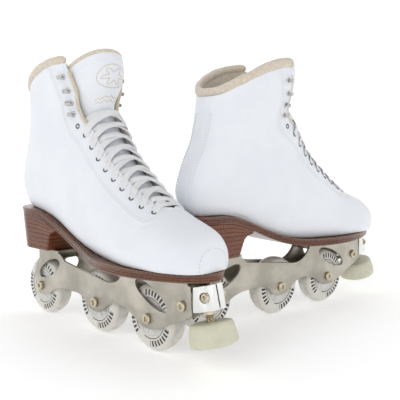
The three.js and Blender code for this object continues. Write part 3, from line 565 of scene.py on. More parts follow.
def tongue_point(s, v, inset, lap=7.0):
    """A point of the tongue: v from -1 to 1 across, under the flattened throat, its top
    leaning forward in the middle."""
    sink = LEATHER + 0.9 + (TONGUE_GAP - 0.9) * smooth_step((s - TONGUE_PLACES[0]) / 0.55)
    limit = np.minimum(0.42, angle_at(s, throat_half(s) + lap, sink))
    lean = TONGUE_LEAN * (1 - v ** 2) * smooth_step((s - 11.5) / 4)
    droop = 0.9 * v ** 2 * np.clip((s - 13) / 3, 0, 1)
    return pressed(s - droop, np.abs(v) * limit, np.where(v < 0, -1.0, 1.0), sink - lean + inset)


def tongue_layer(skate, name, over, under, start, end, quilt):
    """A padded layer of the tongue between two depths, swollen between its seams.

    over and under are its depths at the middle; they close to a thin edge at its border.
    quilt is how deep its sewn channels are."""
    rows, cols = 90 * FINE, 30 * FINE
    s = np.linspace(start, end, rows)[:, None] * np.ones(cols)
    v = np.linspace(-1, 1, cols) * np.ones((rows, 1))
    rim = np.minimum((1 - np.abs(v)) * 26, np.minimum((end - s) * 12, (s - start) * 16 + 1.5))
    fill = np.sqrt(np.clip(1 - (1 - np.clip(rim / 5.5, 0, 1)) ** 2, 0.0, 1))
    seam = np.exp(-((rim - 6.5) / 0.8) ** 2) * quilt
    middle = (over + under) / 2
    face = tongue_point(s, v, middle + (over - middle) * fill + seam)
    back = tongue_point(s, v, middle + (under - middle) * fill)
    way = np.linspace(0, 190, rows)[:, None] * np.ones(cols)
    uv = np.stack([v * 36, way], -1).reshape(-1, 2)
    return shell(skate, name, face, back, uv, sharp=70)


def tongue_rim(skate):
    """Plush roll along the tongue's top: an oval carried over its curved upper edge."""
    v = np.linspace(-1.0, 1.0, 60)
    end = TONGUE_PLACES[1]
    top = tongue_point(np.full(60, end), v, 3.2)
    left = tongue_point(np.linspace(13.2, end, 26)[:-1], np.full(25, -1.0), 3.0)
    right = tongue_point(np.linspace(end, 13.2, 26)[1:], np.full(25, 1.0), 3.0)
    path = catmull(even(np.concatenate([left, top, right]), 40), 100 * FINE)
    way = np.linspace(0, 1, len(path))
    swell = 1 - 0.7 * np.exp(-np.minimum(way, 1 - way) / 0.02)
    rings = sweep(path, outward(np.full(len(path), 15.0), 0.05, 1.0), oval(7.0, 6.6, 18)[None]
                  * swell[:, None, None])
    return tube(skate, skate.hand + "_tongue_rim", rings)


def on_tongue(v, s, lift=0.0):
    """Points on the tongue's outer face."""
    return tongue_point(np.asarray(s, float), np.asarray(v, float), -0.35 - lift)


def stitches(skate, name, path, normals, length=2.0, gap=1.1, width=0.75, height=0.6):
    """A row of short raised threads along a path, one small ridge for each stitch."""
    way = way_along(path)
    count = max(2, int(way[-1] / (length + gap)))
    at = (np.arange(count) + 0.5) * way[-1] / count
    centre_at = np.stack([np.interp(at, way, path[:, k]) for k in range(3)], -1)
    up = unit(np.stack([np.interp(at, way, normals[:, k]) for k in range(3)], -1))
    tangent = unit(np.stack([np.interp(at, way, np.gradient(path[:, k])) for k in range(3)], -1))
    side = unit(np.cross(tangent, up))
    shape_t = np.array([-1, -0.6, 0.6, 1.0]) * length / 2
    rise = np.array([0.0, 1.0, 1.0, 0.0])
    wide = np.array([0.35, 1.0, 1.0, 0.35])
    turn = np.linspace(0, np.pi, 5)
    ring = np.stack([np.cos(turn), np.sin(turn)], -1)
    local = np.zeros((4, 6, 3))
    local[:, :5, 0] = shape_t[:, None]
    local[:, :5, 1] = ring[:, 0] * width / 2 * wide[:, None]
    local[:, :5, 2] = ring[:, 1] * height * (0.25 + 0.75 * rise[:, None]) - 0.1
    local[:, 5, 0] = shape_t
    local[:, 5, 2] = -0.35
    flat = local.reshape(-1, 3)
    points = (centre_at[:, None] + flat[None, :, :1] * tangent[:, None] + flat[None, :, 1:2] * side[:, None]
              + flat[None, :, 2:] * up[:, None])
    one = np.array(grid_faces(4, 6, wrap_cols=True))
    caps = [[5, 4, 3, 2, 1, 0], [18, 19, 20, 21, 22, 23]]
    faces = []
    for k in range(count):
        faces += (one + 24 * k).tolist() + [[i + 24 * k for i in c] for c in caps]
    return make_piece(skate, name, points.reshape(-1, 3), faces, sharp=80)


def seam_on_form(s, a, side, lift):
    """Path and outward directions of a seam on the boot's face."""
    s, a, side = np.broadcast_arrays(np.asarray(s, float), np.asarray(a, float), float(side))
    out = outward(s, a, side)
    return form(s, a, side) + out * lift, out


def boot_seams(skate):
    """All the boot's stitch rows: two beside the facings, the eyestay's edge, the backstay's
    double rows and the row round the toe tip."""
    rows = []
    for side in (1, -1):
        s = np.linspace(4.9, 16.5, 70)
        for way, lift in ((2.6, 0.7), (20.5, 0.7), (23.0, 0.7)):
            rows.append(seam_on_form(s, angle_beyond(s, way), side, lift))
        z = np.linspace(128, 236, 60)
        for y in (10.2, 12.4):
            rows.append(back_seam(z, y * side))
    s = np.full(50, 1.35)
    for side in (1, -1):
        rows.append(seam_on_form(s, np.linspace(0.02, 0.8, 50), side, 0.05))
    made = [stitches(skate, "row", path, out) for path, out in rows]
    return join(made, skate.hand + "_boot_stitching")


def back_seam(z, y):
    """Path up the back of the boot at a given height and half width, found by sampling."""
    s = np.linspace(11.2, 17.0, 160)
    a = np.linspace(0.72, 1.0, 60)
    grid = form(s[:, None], a, 1.0)
    points = []
    for height in z:
        cost = (grid[..., 2] - height) ** 2 + (grid[..., 1] - abs(y)) ** 2
        i, j = np.unravel_index(np.argmin(cost), cost.shape)
        points.append([s[i], a[j]])
    at = np.array(points)
    kernel = np.ones(9) / 9
    soft = np.stack([np.convolve(np.pad(at[:, k], 4, mode="edge"), kernel, "valid") for k in range(2)], -1)
    return seam_on_form(soft[:, 0], soft[:, 1], np.sign(y), 0.6)


# ------------------------------------------------------------------ lacing
def eyelet_at(row, side, lift=0.0):
    s, a = EYELET_S[row], EYELET_A[row]
    out = outward(s, a, float(side))
    return form(s, a, float(side)) + out * (0.7 + lift), out


def eyelet_rings(skate):
    """Rolled eyelets: a small lathe profile, one in each laced hole; the painted shadow inside each hole is
    a separate near-black disc.
    """
    profile = rounded([[1.5, -1.2], [1.5, 0.25], [2.0, 0.75], [2.7, 0.55], [3.0, -0.1], [2.9, -0.6],
                       [1.9, -1.2], [1.5, -1.2]], 0.3, 2)
    made = []
    for row in range(ROWS):
        for side in (1, -1):
            at, out = eyelet_at(row, side)
            made.append(turned(skate, "ring", profile, at, out, segments=20))
    return join(made, skate.hand + "_eyelets")


def eyelet_shadow_discs(skate):
    """Painted shadow inside each eyelet: a shallow dished disc in near black, standing for the shade in the
    hole.
    """
    profile = [[0.01, 0.05], [1.0, -0.05], [1.55, 0.1], [1.55, -0.9], [0.01, -0.9]]
    made = [turned(skate, "throat", profile, *eyelet_at(row, side), segments=14)
            for row in range(ROWS) for side in (1, -1)]
    return join(made, skate.hand + "_eyelet_shadow_discs")


HOOK_S = np.array([12.35, 13.35, 14.35, 15.4])
HOOK_DOME = rounded([[0.01, 1.5], [1.6, 1.25], [2.9, 0.5], [3.2, 0.0], [3.2, -0.6], [0.01, -0.6]],
                    0.4, 2)
HOOK_BEND = [[0.0, 0.6], [-1.2, 1.2], [-3.1, 1.7], [-4.3, 3.0], [-4.2, 4.6], [-2.9, 5.6],
             [-1.0, 5.7], [0.9, 5.2], [2.2, 4.6]]


def hook_pieces(skate):
    """Speed hooks: a domed rivet base and a strip curled forward over it, four a side.

    The strip is a flat oval carried along a path that rises from the base and bends
    back towards the facing."""
    made = []
    for side in (1, -1):
        angles = angle_beyond(HOOK_S, 8.5)
        for s, a in zip(HOOK_S, angles):
            side_f = float(side)
            out = outward(s, a, side_f)
            at = form(s, a, side_f) + out * 0.7
            up = unit(form(s + 0.1, a, side_f) - form(s - 0.1, a, side_f))
            back = unit(np.cross(up, out))
            toward = form(s, a + 0.02, side_f) - form(s, a, side_f)
            back = back * (1.0 if np.dot(back, toward) > 0 else -1.0)
            made.append(turned(skate, "dome", HOOK_DOME, at, out, segments=20))
            line = catmull(HOOK_BEND, 34)
            path = at + line[:, :1] * -back + line[:, 1:] * out
            width = np.interp(np.linspace(0, 1, 34), [0, 0.25, 0.55, 0.9, 1], [3.2, 3.6, 3.9, 3.9, 2.6])
            ring = oval(1.0, 1.0, 12, 3.0)[None] * np.stack([width, np.full(34, 1.0)], -1)[:, None]
            flat = np.cross(up, unit(np.gradient(path, axis=0)))
            made.append(tube(skate, "strip", sweep(path, flat, ring)))
    return join(made, skate.hand + "_lace_hooks")


def ribbon(skate, name, path, normals, width=LACE_W, thick=LACE_T, way_from=0.0):
    """A flat woven lace: a squared oval carried along a path, its flat side to the normals."""
    tangent = unit(np.gradient(path, axis=0))
    side = unit(np.cross(tangent, normals))
    lift = unit(np.cross(side, tangent))
    width = np.broadcast_to(width, len(path))
    ring = oval(1.0, 1.0, 20, 3.4)
    crown = 0.10 * np.cos(ring[:, 0] * np.pi)
    rings = (path[:, None] + (ring[None, :, :1] * width[:, None, None]) * side[:, None]
             + ((ring[None, :, 1:] * thick) + crown[None, :, None]) * lift[:, None])
    way = way_from + way_along(path)
    uv = np.stack([np.broadcast_to(ring[:, 0] * LACE_W, (len(path), 20)),
                   np.broadcast_to(way[:, None], (len(path), 20))], -1)
    return tube(skate, name, rings, uv.reshape(-1, 2), sharp=60)


def crossing(row, side, high):
    """Path of one lace from an eyelet over its facing and the tongue, then under the other
    facing to the eyelet above; high lifts it over the strand that it crosses."""
    at, out = eyelet_at(row, side)
    to, out_to = eyelet_at(row + 1, -side)
    s0, s1 = EYELET_S[row], EYELET_S[row + 1]
    mid = (s0 + s1) / 2
    e0, e1 = facing_edge(s0), facing_edge(s1)
    over = 1.6 + (1.3 if high else 0.0)
    face = lambda s, a, sd, by: form(s, a, sd) + outward(s, max(float(a), 0.02), float(sd)) * by
    raised = lambda s, a, sd, by: pressed(s, a, float(sd), -by)
    points = [at + out * -0.6, at + out * 0.9 + unit(face(s0, e0, side, 0.0) - at) * 1.8,
              face(s0 + 0.06 * (s1 - s0), e0 + 0.35 * (EYELET_A[row] - e0), side, 1.9),
              face(s0 + 0.2 * (s1 - s0), e0 + 0.004, side, 1.9),
              raised(s0 + 0.35 * (s1 - s0), e0 * 0.6, side, over + 0.1),
              raised(mid, 0.0, side, over),
              raised(s0 + 0.68 * (s1 - s0), e1 * 0.6, -side, over - 0.5),
              raised(s0 + 0.85 * (s1 - s0), e1 * 0.93, -side, -1.0),
              form(s1, e1 + 0.3 * (EYELET_A[row + 1] - e1), -float(side), 3.6),
              to - out_to * 3.9]
    path = catmull(points, 46 * FINE)
    spread = np.linspace(0, 1, len(path))[:, None]
    normal = unit(out * (1 - spread) + out_to * spread + np.array([0.35, 0, 0.55]) * np.sin(np.pi * spread))
    return path, normal


def lace_piece(skate):
    """Both laces: a bar across the lowest eyelets, crossings up to the ninth row, and the
    doubled ends folded over the near facing and tucked between the facings."""
    made = []
    at, out = eyelet_at(0, 1)
    to, out_to = eyelet_at(0, -1)
    s0 = EYELET_S[0]
    bar = catmull([at - out * 0.6, at + out * 1.0 + (to - at) * 0.06, form(s0, facing_edge(s0), 1.0, -1.8),
                   pressed(s0, 0.0, 1.0, -1.2), form(s0, facing_edge(s0), -1.0, -1.8),
                   to + out_to * 1.0 + (at - to) * 0.06, to - out_to * 0.6], 60 * FINE)
    spread = np.linspace(0, 1, len(bar))[:, None]
    made.append(ribbon(skate, "lace", bar, unit(out * (1 - spread) + out_to * spread)))
    for row in range(LACED_ROWS - 1):
        for side in (1, -1):
            path, normal = crossing(row, side, (side > 0) == (row % 2 == 0))
            made.append(ribbon(skate, "lace", path, normal, way_from=7.0 * row))
    made += lace_tails(skate)
    return join(made, skate.hand + "_flat_laces")


def lace_tails(skate):
    """The laces' ends: each comes out of the ninth eyelet, lies across the tongue in a
    doubled band and turns down into the boot behind the other facing."""
    made = []
    row = LACED_ROWS - 1
    for side, lift in ((1, 0.0), (-1, 1.4)):
        at, out = eyelet_at(row, side)
        s = EYELET_S[row]
        e = facing_edge(s)
        out_to = eyelet_at(row, -side)[1]
        points = [at - out * 0.6, at + out * 1.1 + unit(form(s, e, float(side)) - at) * 1.8,
                  form(s + 0.15, e + 0.004, float(side), -1.9 - lift * 0.3),
                  pressed(s + 0.45, e * 0.55, float(side), -1.8 - lift),
                  pressed(s + 0.7, 0.0, float(side), -1.9 - lift),
                  pressed(s + 0.85, e * 0.6, -float(side), -1.3 - lift * 0.5),
                  pressed(s + 0.9, e * 0.97, -float(side), 1.2),
                  form(s + 0.75, e + 0.02, -float(side), 4.6)]
        path = catmull(points, 50 * FINE)
        spread = np.linspace(0, 1, len(path))[:, None]
        normal = unit(out * (1 - spread) + out_to * spread
                      + np.array([0.5, 0, 0.35]) * np.sin(np.pi * spread))
        made.append(ribbon(skate, "lace", path, normal, width=np.full(len(path), 7.2)))
    return made


# ------------------------------------------------------------------ sole and heel
SOLE_OUTLINE = np.array([
    [166, 0], [162, 12], [152, 22], [136, 31], [112, 41], [84, 47], [56, 46.5], [30, 40], [0, 31.5],
    [-35, 27], [-70, 27], [-103, 28.5], [-124, 23.5], [-135, 12], [-138.5, 0], [-135, -12],
    [-124, -23.5], [-103, -28.5], [-70, -26.5], [-35, -26], [0, -30.5], [30, -40], [56, -46.5],
    [84, -47.5], [112, -42.5], [136, -33], [152, -23], [162, -12]])


def sole_outline(per_span=8):
    """The sole's plan: a closed Catmull-Rom curve, point k lying across from point n - k."""
    wrapped = np.concatenate([SOLE_OUTLINE[-1:], SOLE_OUTLINE, SOLE_OUTLINE[:2]])
    fine = catmull(wrapped, (len(wrapped) - 1) * per_span + 1)
    return fine[per_span:-(per_span + 1)]


def plan_normals(plan):
    """Outward directions at the points of a closed plan."""
    edge = unit(np.roll(plan, -1, 0) - np.roll(plan, 1, 0))
    normal = np.stack([edge[:, 1], -edge[:, 0]], -1)
    return normal if np.sum(normal * (plan - plan.mean(0))) > 0 else -normal


def strip_caps(rows, n):
    """Faces over the first and last of rows rings of n points, as strips between the ring's
    two halves, point k lying across from point n - k."""
    faces = []
    for base, order in ((0, -1), ((rows - 1) * n, 1)):
        for k in range(n // 2):
            quad = list(dict.fromkeys([k, k + 1, (n - k - 1) % n, (n - k) % n]))
            faces.append([base + q for q in quad[::order]])
    return faces


def strip_stack(skate, name, levels, outline, height, **more):
    """A closed body over a plan that is one curve out and the same curve back: rings of
    levels (inset, drop), with its flat faces made of strips between the two halves."""
    normal = plan_normals(outline)
    rings = []
    for inset, drop in levels:
        ring = outline - normal * inset
        ring[:, 1] = np.where(outline[:, 1] > 0, np.maximum(ring[:, 1], 0), np.minimum(ring[:, 1], 0))
        rings.append(np.concatenate([ring, height(ring[:, 0], drop)[:, None]], 1))
    rings = np.array(rings)
    rows, n = rings.shape[:2]
    uv = np.stack([np.broadcast_to(way_along(outline), (rows, n)), rings[..., 2]], -1).reshape(-1, 2)
    faces = grid_faces(rows, n, wrap_cols=True) + strip_caps(rows, n)
    return make_piece(skate, name, rings.reshape(-1, 3), faces, uv, **more)


def outsole_piece(skate):
    """Leather outsole: rings of its plan following the rise of the shank, with grooves
    between its layers and a welt that stands proud under the upper."""
    levels = [(2.2, -8.5), (0.9, -8.35), (0.35, -7.7), (0.3, -6.3), (0.75, -6.05), (0.75, -5.85),
              (0.25, -5.6), (0.2, -4.1), (0.65, -3.85), (0.65, -3.65), (-0.1, -3.35), (-0.5, -2.6),
              (-0.6, -1.6), (-0.4, -0.9), (0.3, -0.55), (3.0, -0.5)]
    return strip_stack(skate, skate.hand + "_leather_outsole", levels, sole_outline(),
                       lambda x, drop: sole_top(x) + drop, sharp=24)


WELT_INSET = 0.5               # stitches to the edge of the sole
WELT_BACK = -60.0              # where the row ends towards the heel


def welt_stitching(skate):
    """Stitches round the welt from shank to shank, on its upper face."""
    plan = sole_outline()
    plan = plan - plan_normals(plan) * WELT_INSET
    ring = np.roll(plan, len(plan) // 2, axis=0)[2:-2]
    keep = ring[:, 0] > WELT_BACK
    rows = []
    for side in (1, -1):
        part = ring[keep & (np.sign(ring[:, 1]) == side)]
        path = np.concatenate([part, (sole_top(part[:, 0]) - 0.62)[:, None]], 1)
        up = np.tile([0, 0.0, 1.0], (len(path), 1))
        rows.append(stitches(skate, "row", path, up, 2.4, 1.3, 0.7, 0.45))
    return join(rows, skate.hand + "_welt_stitching")


HEEL_TOP = 38.6                # full height at the back
HEEL_BACK = -109.0             # centre of the round back
HEEL_R = 27.5
HEEL_SIDE = 25.7               # half width at the breast
HEEL_TAPER = 0.09
HEEL_MIDDLE = -98.0            # x that the taper draws towards
HEEL_CORNER = 2.0
BREAST = np.array([[80.5, -73], [86, -71.2], [92, -69.2], [97, -68], [101, -66.6], [104, -64],
                   [106.5, -60], [108.5, -55.5]])      # z and x down its front face
HEEL_LAYERS = (0.10, 0.235, 0.365, 0.495, 0.625, 0.755, 0.875)


def heel_piece(skate):
    """Stacked heel: D-shaped rings from the top piece to the seat. Height is t times the
    full height, less t cubed times what the shank's slope takes off, so that the lower
    layers lie level; a groove is pressed in at each layer."""
    t = [0.0, 0.0, 0.012, 0.03]
    cut_in = [1.6, 0.5, 0.1, 0.0]
    for layer in HEEL_LAYERS:
        t += [layer - 0.012, layer - 0.004, layer + 0.004, layer + 0.012]
        cut_in += [0.0, 0.38, 0.38, 0.0]
    t += [0.985, 0.998, 0.998]
    cut_in += [0.0, 0.3, 2.0]
    rings = []
    for share, inset in zip(t, cut_in):
        z0 = HEEL_BASE + HEEL_TOP * share
        front = np.interp(z0, BREAST[:, 0], BREAST[:, 1]) - inset
        taper = 1 - HEEL_TAPER * (1 - share)
        radius, side = HEEL_R - inset, HEEL_SIDE - inset
        back = np.linspace(0, np.pi / 2, 30)
        arc = np.stack([HEEL_BACK - radius * np.cos(back), radius * np.sin(back)], -1)
        run = np.linspace(0, 1, 20)[1:-1, None]
        straight = arc[-1] + (np.array([front - HEEL_CORNER, side]) - arc[-1]) * run
        bend = np.linspace(0, np.pi / 2, 6)
        corner = np.stack([front - HEEL_CORNER * (1 - np.sin(bend)),
                           side - HEEL_CORNER * (1 - np.cos(bend))], -1)
        breast = np.stack([np.full(8, front), (side - HEEL_CORNER) * np.linspace(0.88, 0.1, 8)], -1)
        half = np.concatenate([arc, straight, corner, breast, [[front, 0.0]]])
        plan = np.concatenate([half, (half[1:-1] * [1, -1])[::-1]])
        plan[:, 0] = HEEL_MIDDLE + (plan[:, 0] - HEEL_MIDDLE) * taper
        plan[:, 1] *= taper
        seat = sole_top(plan[:, 0]) - SOLE_T - 0.1 - HEEL_BASE
        z = HEEL_BASE + HEEL_TOP * share - share ** 3 * (HEEL_TOP - seat)
        rings.append(np.concatenate([plan, z[:, None]], 1))
    rings = np.array(rings)
    rows, n = rings.shape[:2]
    faces = grid_faces(rows, n, wrap_cols=True) + strip_caps(rows, n)
    return make_piece(skate, skate.hand + "_stacked_heel_leather", rings, faces,
                      np.stack([rings[..., 0], rings[..., 2]], -1).reshape(-1, 2), sharp=22)


# ------------------------------------------------------------------ frame pieces
def bezier(points, count=14):
    """A quadratic or cubic Bezier curve through its control points."""
    t = np.linspace(0, 1, count)[:, None]
    p = [np.asarray(q, float) for q in points]
    while len(p) > 1:
        p = [a * (1 - t) + b * t for a, b in zip(p, p[1:])]
    return p[0]


def plate_outline():
    """Outline of a side plate in x and z, as the pieces of its edge run round it."""
    low = AXLE_Z - 10
    runs = [[(-107, 77), (-107, 68)], [(-107, 68), (-117, 58), (-118, 46)],
            [(-118, 46), (-118.5, 30), (-108, low)], [(-108, low), (-92, low), (-82, 31)],
            [(-82, 31), (-70, 38.5), (-52, 38.5)], [(-52, 38.5), (-30, 38.5)],
            [(-30, 38.5), (-22, 37), (-16, 30)], [(-16, 30), (-9, low), (0, low)],
            [(0, low), (10, low), (17, 30.5)], [(17, 30.5), (27, 39.5), (40, 39.5)],
            [(40, 39.5), (55, 39), (68, 29.5)], [(68, 29.5), (76, low), (85, low)],
            [(85, low), (98, low), (108, 30.5)], [(108, 30.5), (147, 48)], [(147, 48), (145, 76.5)],
            [(145, 76.5), (50, 76.5)], [(50, 76.5), (44, 66), (36, 59.5), (22, 59.5)],
            [(22, 59.5), (-24, 65.5)], [(-24, 65.5), (-55, 70)], [(-55, 70), (-64, 77)],
            [(-64, 77), (-107, 77)]]
    made = np.concatenate([bezier(r, 16 if len(r) > 2 else 2)[:-1] for r in runs])
    return rounded(np.concatenate([made, made[:2]]), 1.6, 3)[3:-1]


def ellipse(x, z, long, short, tilt=0.0, count=64):
    turn = np.linspace(0, 2 * np.pi, count, endpoint=False)
    p, q = long * np.cos(turn), short * np.sin(turn)
    c, s = np.cos(np.radians(tilt)), np.sin(np.radians(tilt))
    return np.stack([x + p * c - q * s, z + p * s + q * c], -1)


def flat_part(skate, name, outlines, middle, half, bevel, axes):
    """A plate cut from flat curves with holes, its edges rounded by a bevel. axes maps the
    curve's two directions and the plate's own thickness to skate x, y and z."""
    curve = bpy.data.curves.new(name + "_cut", "CURVE")
    curve.dimensions = "2D"
    curve.fill_mode = "BOTH"
    curve.extrude = half - bevel
    curve.bevel_depth = bevel
    curve.bevel_resolution = 2
    curve.offset = -bevel
    for outline in outlines:
        line = curve.splines.new("POLY")
        line.points.add(len(outline) - 1)
        line.points.foreach_set("co", np.concatenate(
            [outline, np.zeros((len(outline), 1)), np.ones((len(outline), 1))], 1).ravel())
        line.use_cyclic_u = True
    holder = bpy.data.objects.new(name + "_cut", curve)
    bpy.context.scene.collection.objects.link(holder)
    made = bpy.data.meshes.new_from_object(holder.evaluated_get(bpy.context.evaluated_depsgraph_get()))
    flat = np.zeros(len(made.vertices) * 3)
    made.vertices.foreach_get("co", flat)
    flat = flat.reshape(-1, 3)
    points = flat[:, axes] * 1.0
    points[:, axes.index(2)] += middle
    faces = [tuple(f.vertices) for f in made.polygons]
    bpy.data.objects.remove(holder)
    bpy.data.curves.remove(curve)
    bpy.data.meshes.remove(made)
    piece = make_piece(skate, name, points, faces, points[:, [0, 2]], sharp=30)
    return merge_points(piece, 2e-6)


def side_plate(skate, name, side):
    """Pressed side plate with its two oval windows and the bolt holes."""
    holes = [ellipse(-86.5, 57.5, 23, 8.6, 26), ellipse(90.5, 58, 25.5, 8.6, -25)]
    holes += [ellipse(x, AXLE_Z, 4.5, 4.5, 0, 32) for x in AXLES.values()]
    holes.append(ellipse(134, 56, 3.6, 3.6, 0, 28))
    middle = side * (PLATE_IN + PLATE_OUT) / 2
    return flat_part(skate, skate.hand + "_" + name, [plate_outline()] + holes, middle,
                     (PLATE_OUT - PLATE_IN) / 2, 0.45, [0, 2, 1])


def eased_copy(node, name, width=0.0004, angle=35.0, segments=2):
    """A CAD solid's mesh, merged, with its edges eased by a bevel."""
    source = bpy.data.objects[node]
    mesh = source.data.copy()
    piece = bpy.data.objects.new(name, mesh)
    bpy.context.scene.collection.objects.link(piece)
    mesh.materials.clear()
    merge_points(piece, 2e-6)
    work = bmesh.new()
    work.from_mesh(mesh)
    bmesh.ops.dissolve_limit(work, angle_limit=np.radians(1.0), verts=work.verts, edges=work.edges)
    work.to_mesh(mesh)
    work.free()
    mesh.shade_smooth()
    bevel = piece.modifiers.new("eased", "BEVEL")
    bevel.width = width
    bevel.segments = segments
    bevel.limit_method = "ANGLE"
    bevel.angle_limit = np.radians(angle)
    bevel.harden_normals = True
    return piece


def bolt(skate, name, at, axis, grip, shaft, head, high, socket):
    """A bolt with a domed head and a hexagon socket at both ends, turned in one closed
    skin; rows of its sockets follow a hexagon instead of a circle."""
    end = grip + high
    side = [(socket * 0.8, end - 1.7, 1), (socket, end - 1.6, 1), (socket, end - 0.35, 1),
            (socket + 0.25, end - 0.05, 1), (socket + 0.9, end, 0), (head - 1.0, end, 0),
            (head - 0.35, end - 0.25, 0), (head, end - 0.8, 0), (head, grip + 0.3, 0),
            (head - 0.3, grip, 0), (shaft, grip - 0.02, 0)]
    rows = [(r, -w, h) for r, w, h in side] + [(r, w, h) for r, w, h in side[::-1]]
    axis = unit(np.asarray(axis, float))
    across = unit(np.cross(axis, [0.13, 0.0, 1.0]))
    turn, ring = circle(across, np.cross(axis, across), 48)
    reach = hexagon(turn)[:, None]
    rings = np.array([at + w * axis + r * (reach if h else 1.0) * ring for r, w, h in rows])
    return tube(skate, skate.hand + "_" + name, rings, sharp=28)


def stem_point(way):
    """A point on the toe stop's stem, a given way up from the pad's centre."""
    return STOP_AT + way * STOP_AXIS




def stop_stem(skate):
    """Threaded stem: rings whose radius rises and falls once a pitch, led round by the
    angle so that the thread climbs."""
    pitch, low, high = 1.25, -1.7, 43.5
    way = np.arange(low, high, pitch / 8)
    turn, ring = circle(STOP_ACROSS, SIDEWAYS, 28)
    phase = way[:, None] / pitch + turn / (2 * np.pi)
    tooth = np.abs((phase % 1) - 0.5) * 2
    ends = np.clip(np.minimum(way - low, high - way)[:, None] / 1.0, 0, 1)
    radius = 3.35 + 0.6 * tooth * ends
    rings = stem_point(0) + way[:, None, None] * STOP_AXIS + radius[..., None] * ring
    return tube(skate, skate.hand + "_threaded_stem", rings, sharp=60)


def stop_pad(skate):
    """Rubber pad: turned, tapering upwards, with a chamfered shoulder and worn lower edge."""
    profile = rounded([[0.01, -10.9], [14.0, -11.0], [18.6, -10.9], [21.8, -9.7], [22.8, -7.2],
                       [22.75, -5.0], [22.3, -1.0], [21.4, 4.0], [20.9, 7.9], [19.4, 10.3],
                       [16.8, 10.9], [7.6, 10.9],
                       [6.9, 9.9], [4.6, 9.9], [4.6, -2.0], [0.01, -2.0]], 0.9, 4)
    return turned(skate, skate.hand + "_rubber_stop", profile, stem_point(0), STOP_AXIS, 96, sharp=45)


def hex_nut(skate, name, low, high, half, bore):
    """Hexagon nut with its corners turned down to a chamfer on both faces."""
    turn, ring = circle(STOP_ACROSS, SIDEWAYS, 60)
    flats = half * hexagon(turn)
    chamfer = np.minimum(flats, half * 1.045)
    hole = np.full(60, bore)
    rows = [(hole, low), (chamfer - 0.35, low), (chamfer, low + 0.15), (flats, low + 0.65),
            (flats, high - 0.65), (chamfer, high - 0.15), (chamfer - 0.35, high), (hole, high)]
    rings = np.array([stem_point(w) + r[:, None] * ring for r, w in rows])
    return tube(skate, skate.hand + "_" + name, rings, closed_path=True, sharp=30)


def wheel_parts(skate, place):
    """Tyre, hub and bearings of a wheel, each turned about its axle."""
    at = np.array([AXLES[place], 0, AXLE_Z])
    axis = SIDEWAYS
    half = [[18.05, 0.0], [18.05, 8.6], [18.35, 9.5], [19.6, 10.2], [21.6, 10.6],
    [24.5, 10.78],
            [27.0, 10.6], [29.2, 9.85], [31.0, 8.5], [32.3, 6.6], [33.05, 4.4], [33.42, 2.2], [WHEEL_R, 0.0]]
    half = catmull(half, 60)
    profile = np.concatenate([half, (half[1:-1] * [1, -1])[::-1], half[:1]])
    tyre = turned(skate, f"{skate.hand}_{place}_urethane_tyre", profile, at, axis, 96,
                  radial_uv=True, sharp=70)
    rim = rounded([[11.3, 9.5], [12.0, 9.6], [13.0, 8.7], [16.4, 8.7], [17.2, 9.6], [18.0, 9.4],
                   [18.0, -9.4], [17.2, -9.6], [16.4, -8.7], [13.0, -8.7], [12.0, -9.6], [11.3, -9.5],
                   [11.3, -3.2], [8.4, -3.0], [8.4, 3.0], [11.3, 3.2], [11.3, 9.5]], 0.35, 2)
    hub = turned(skate, f"{skate.hand}_{place}_spoked_hub", np.r_[rim[:-1], rim[:1]], at, axis, 72,
                 sharp=30)
    ribs = []
    for k in range(10):
        turn = 2 * np.pi * k / 10
        out = np.array([np.cos(turn), 0, np.sin(turn)])
        for sign in (1, -1):
            path = at + out * np.linspace(12.7, 16.7, 5)[:, None] + axis * sign * 8.75
            ribs.append(tube(skate, "rib", sweep(path, axis * sign, oval(1.5, 1.3, 10, 3.0)), sharp=60))
    hub = join([hub] + ribs, hub.name)
    race = rounded([[4.3, 11.2], [5.9, 11.2], [6.3, 10.7], [9.2, 10.6], [9.7, 11.0], [10.9, 11.1],
                    [10.95, 5.0], [6.3, 4.9], [6.2, -4.9], [10.95, -5.0], [10.9, -11.1], [9.7, -11.0],
                    [9.2, -10.6], [6.3, -10.7], [5.9, -11.2], [4.3, -11.2], [4.3, 11.2]], 0.25, 2)
    bearing = turned(skate, f"{skate.hand}_{place}_shielded_bearings", np.r_[race[:-1], race[:1]], at, axis,
                     60, sharp=30)
    return tyre, hub, bearing


def footbed_piece(skate):
    """Insole: the sole's plan drawn in, with a soft edge and a slightly dished middle."""
    plan = sole_outline(5)
    plan = plan * [0.88, 0.78] + [3.0, 0]
    levels = [(3.0, 3.6), (1.2, 3.7), (0.3, 4.3), (0.0, 5.2), (0.5, 6.2), (1.6, 6.7), (3.4, 6.8),
              (7.0, 6.5)]
    return strip_stack(skate, skate.hand + "_insole", levels, plan,
                       lambda x, lift: sole_top(x) + lift, sharp=60)


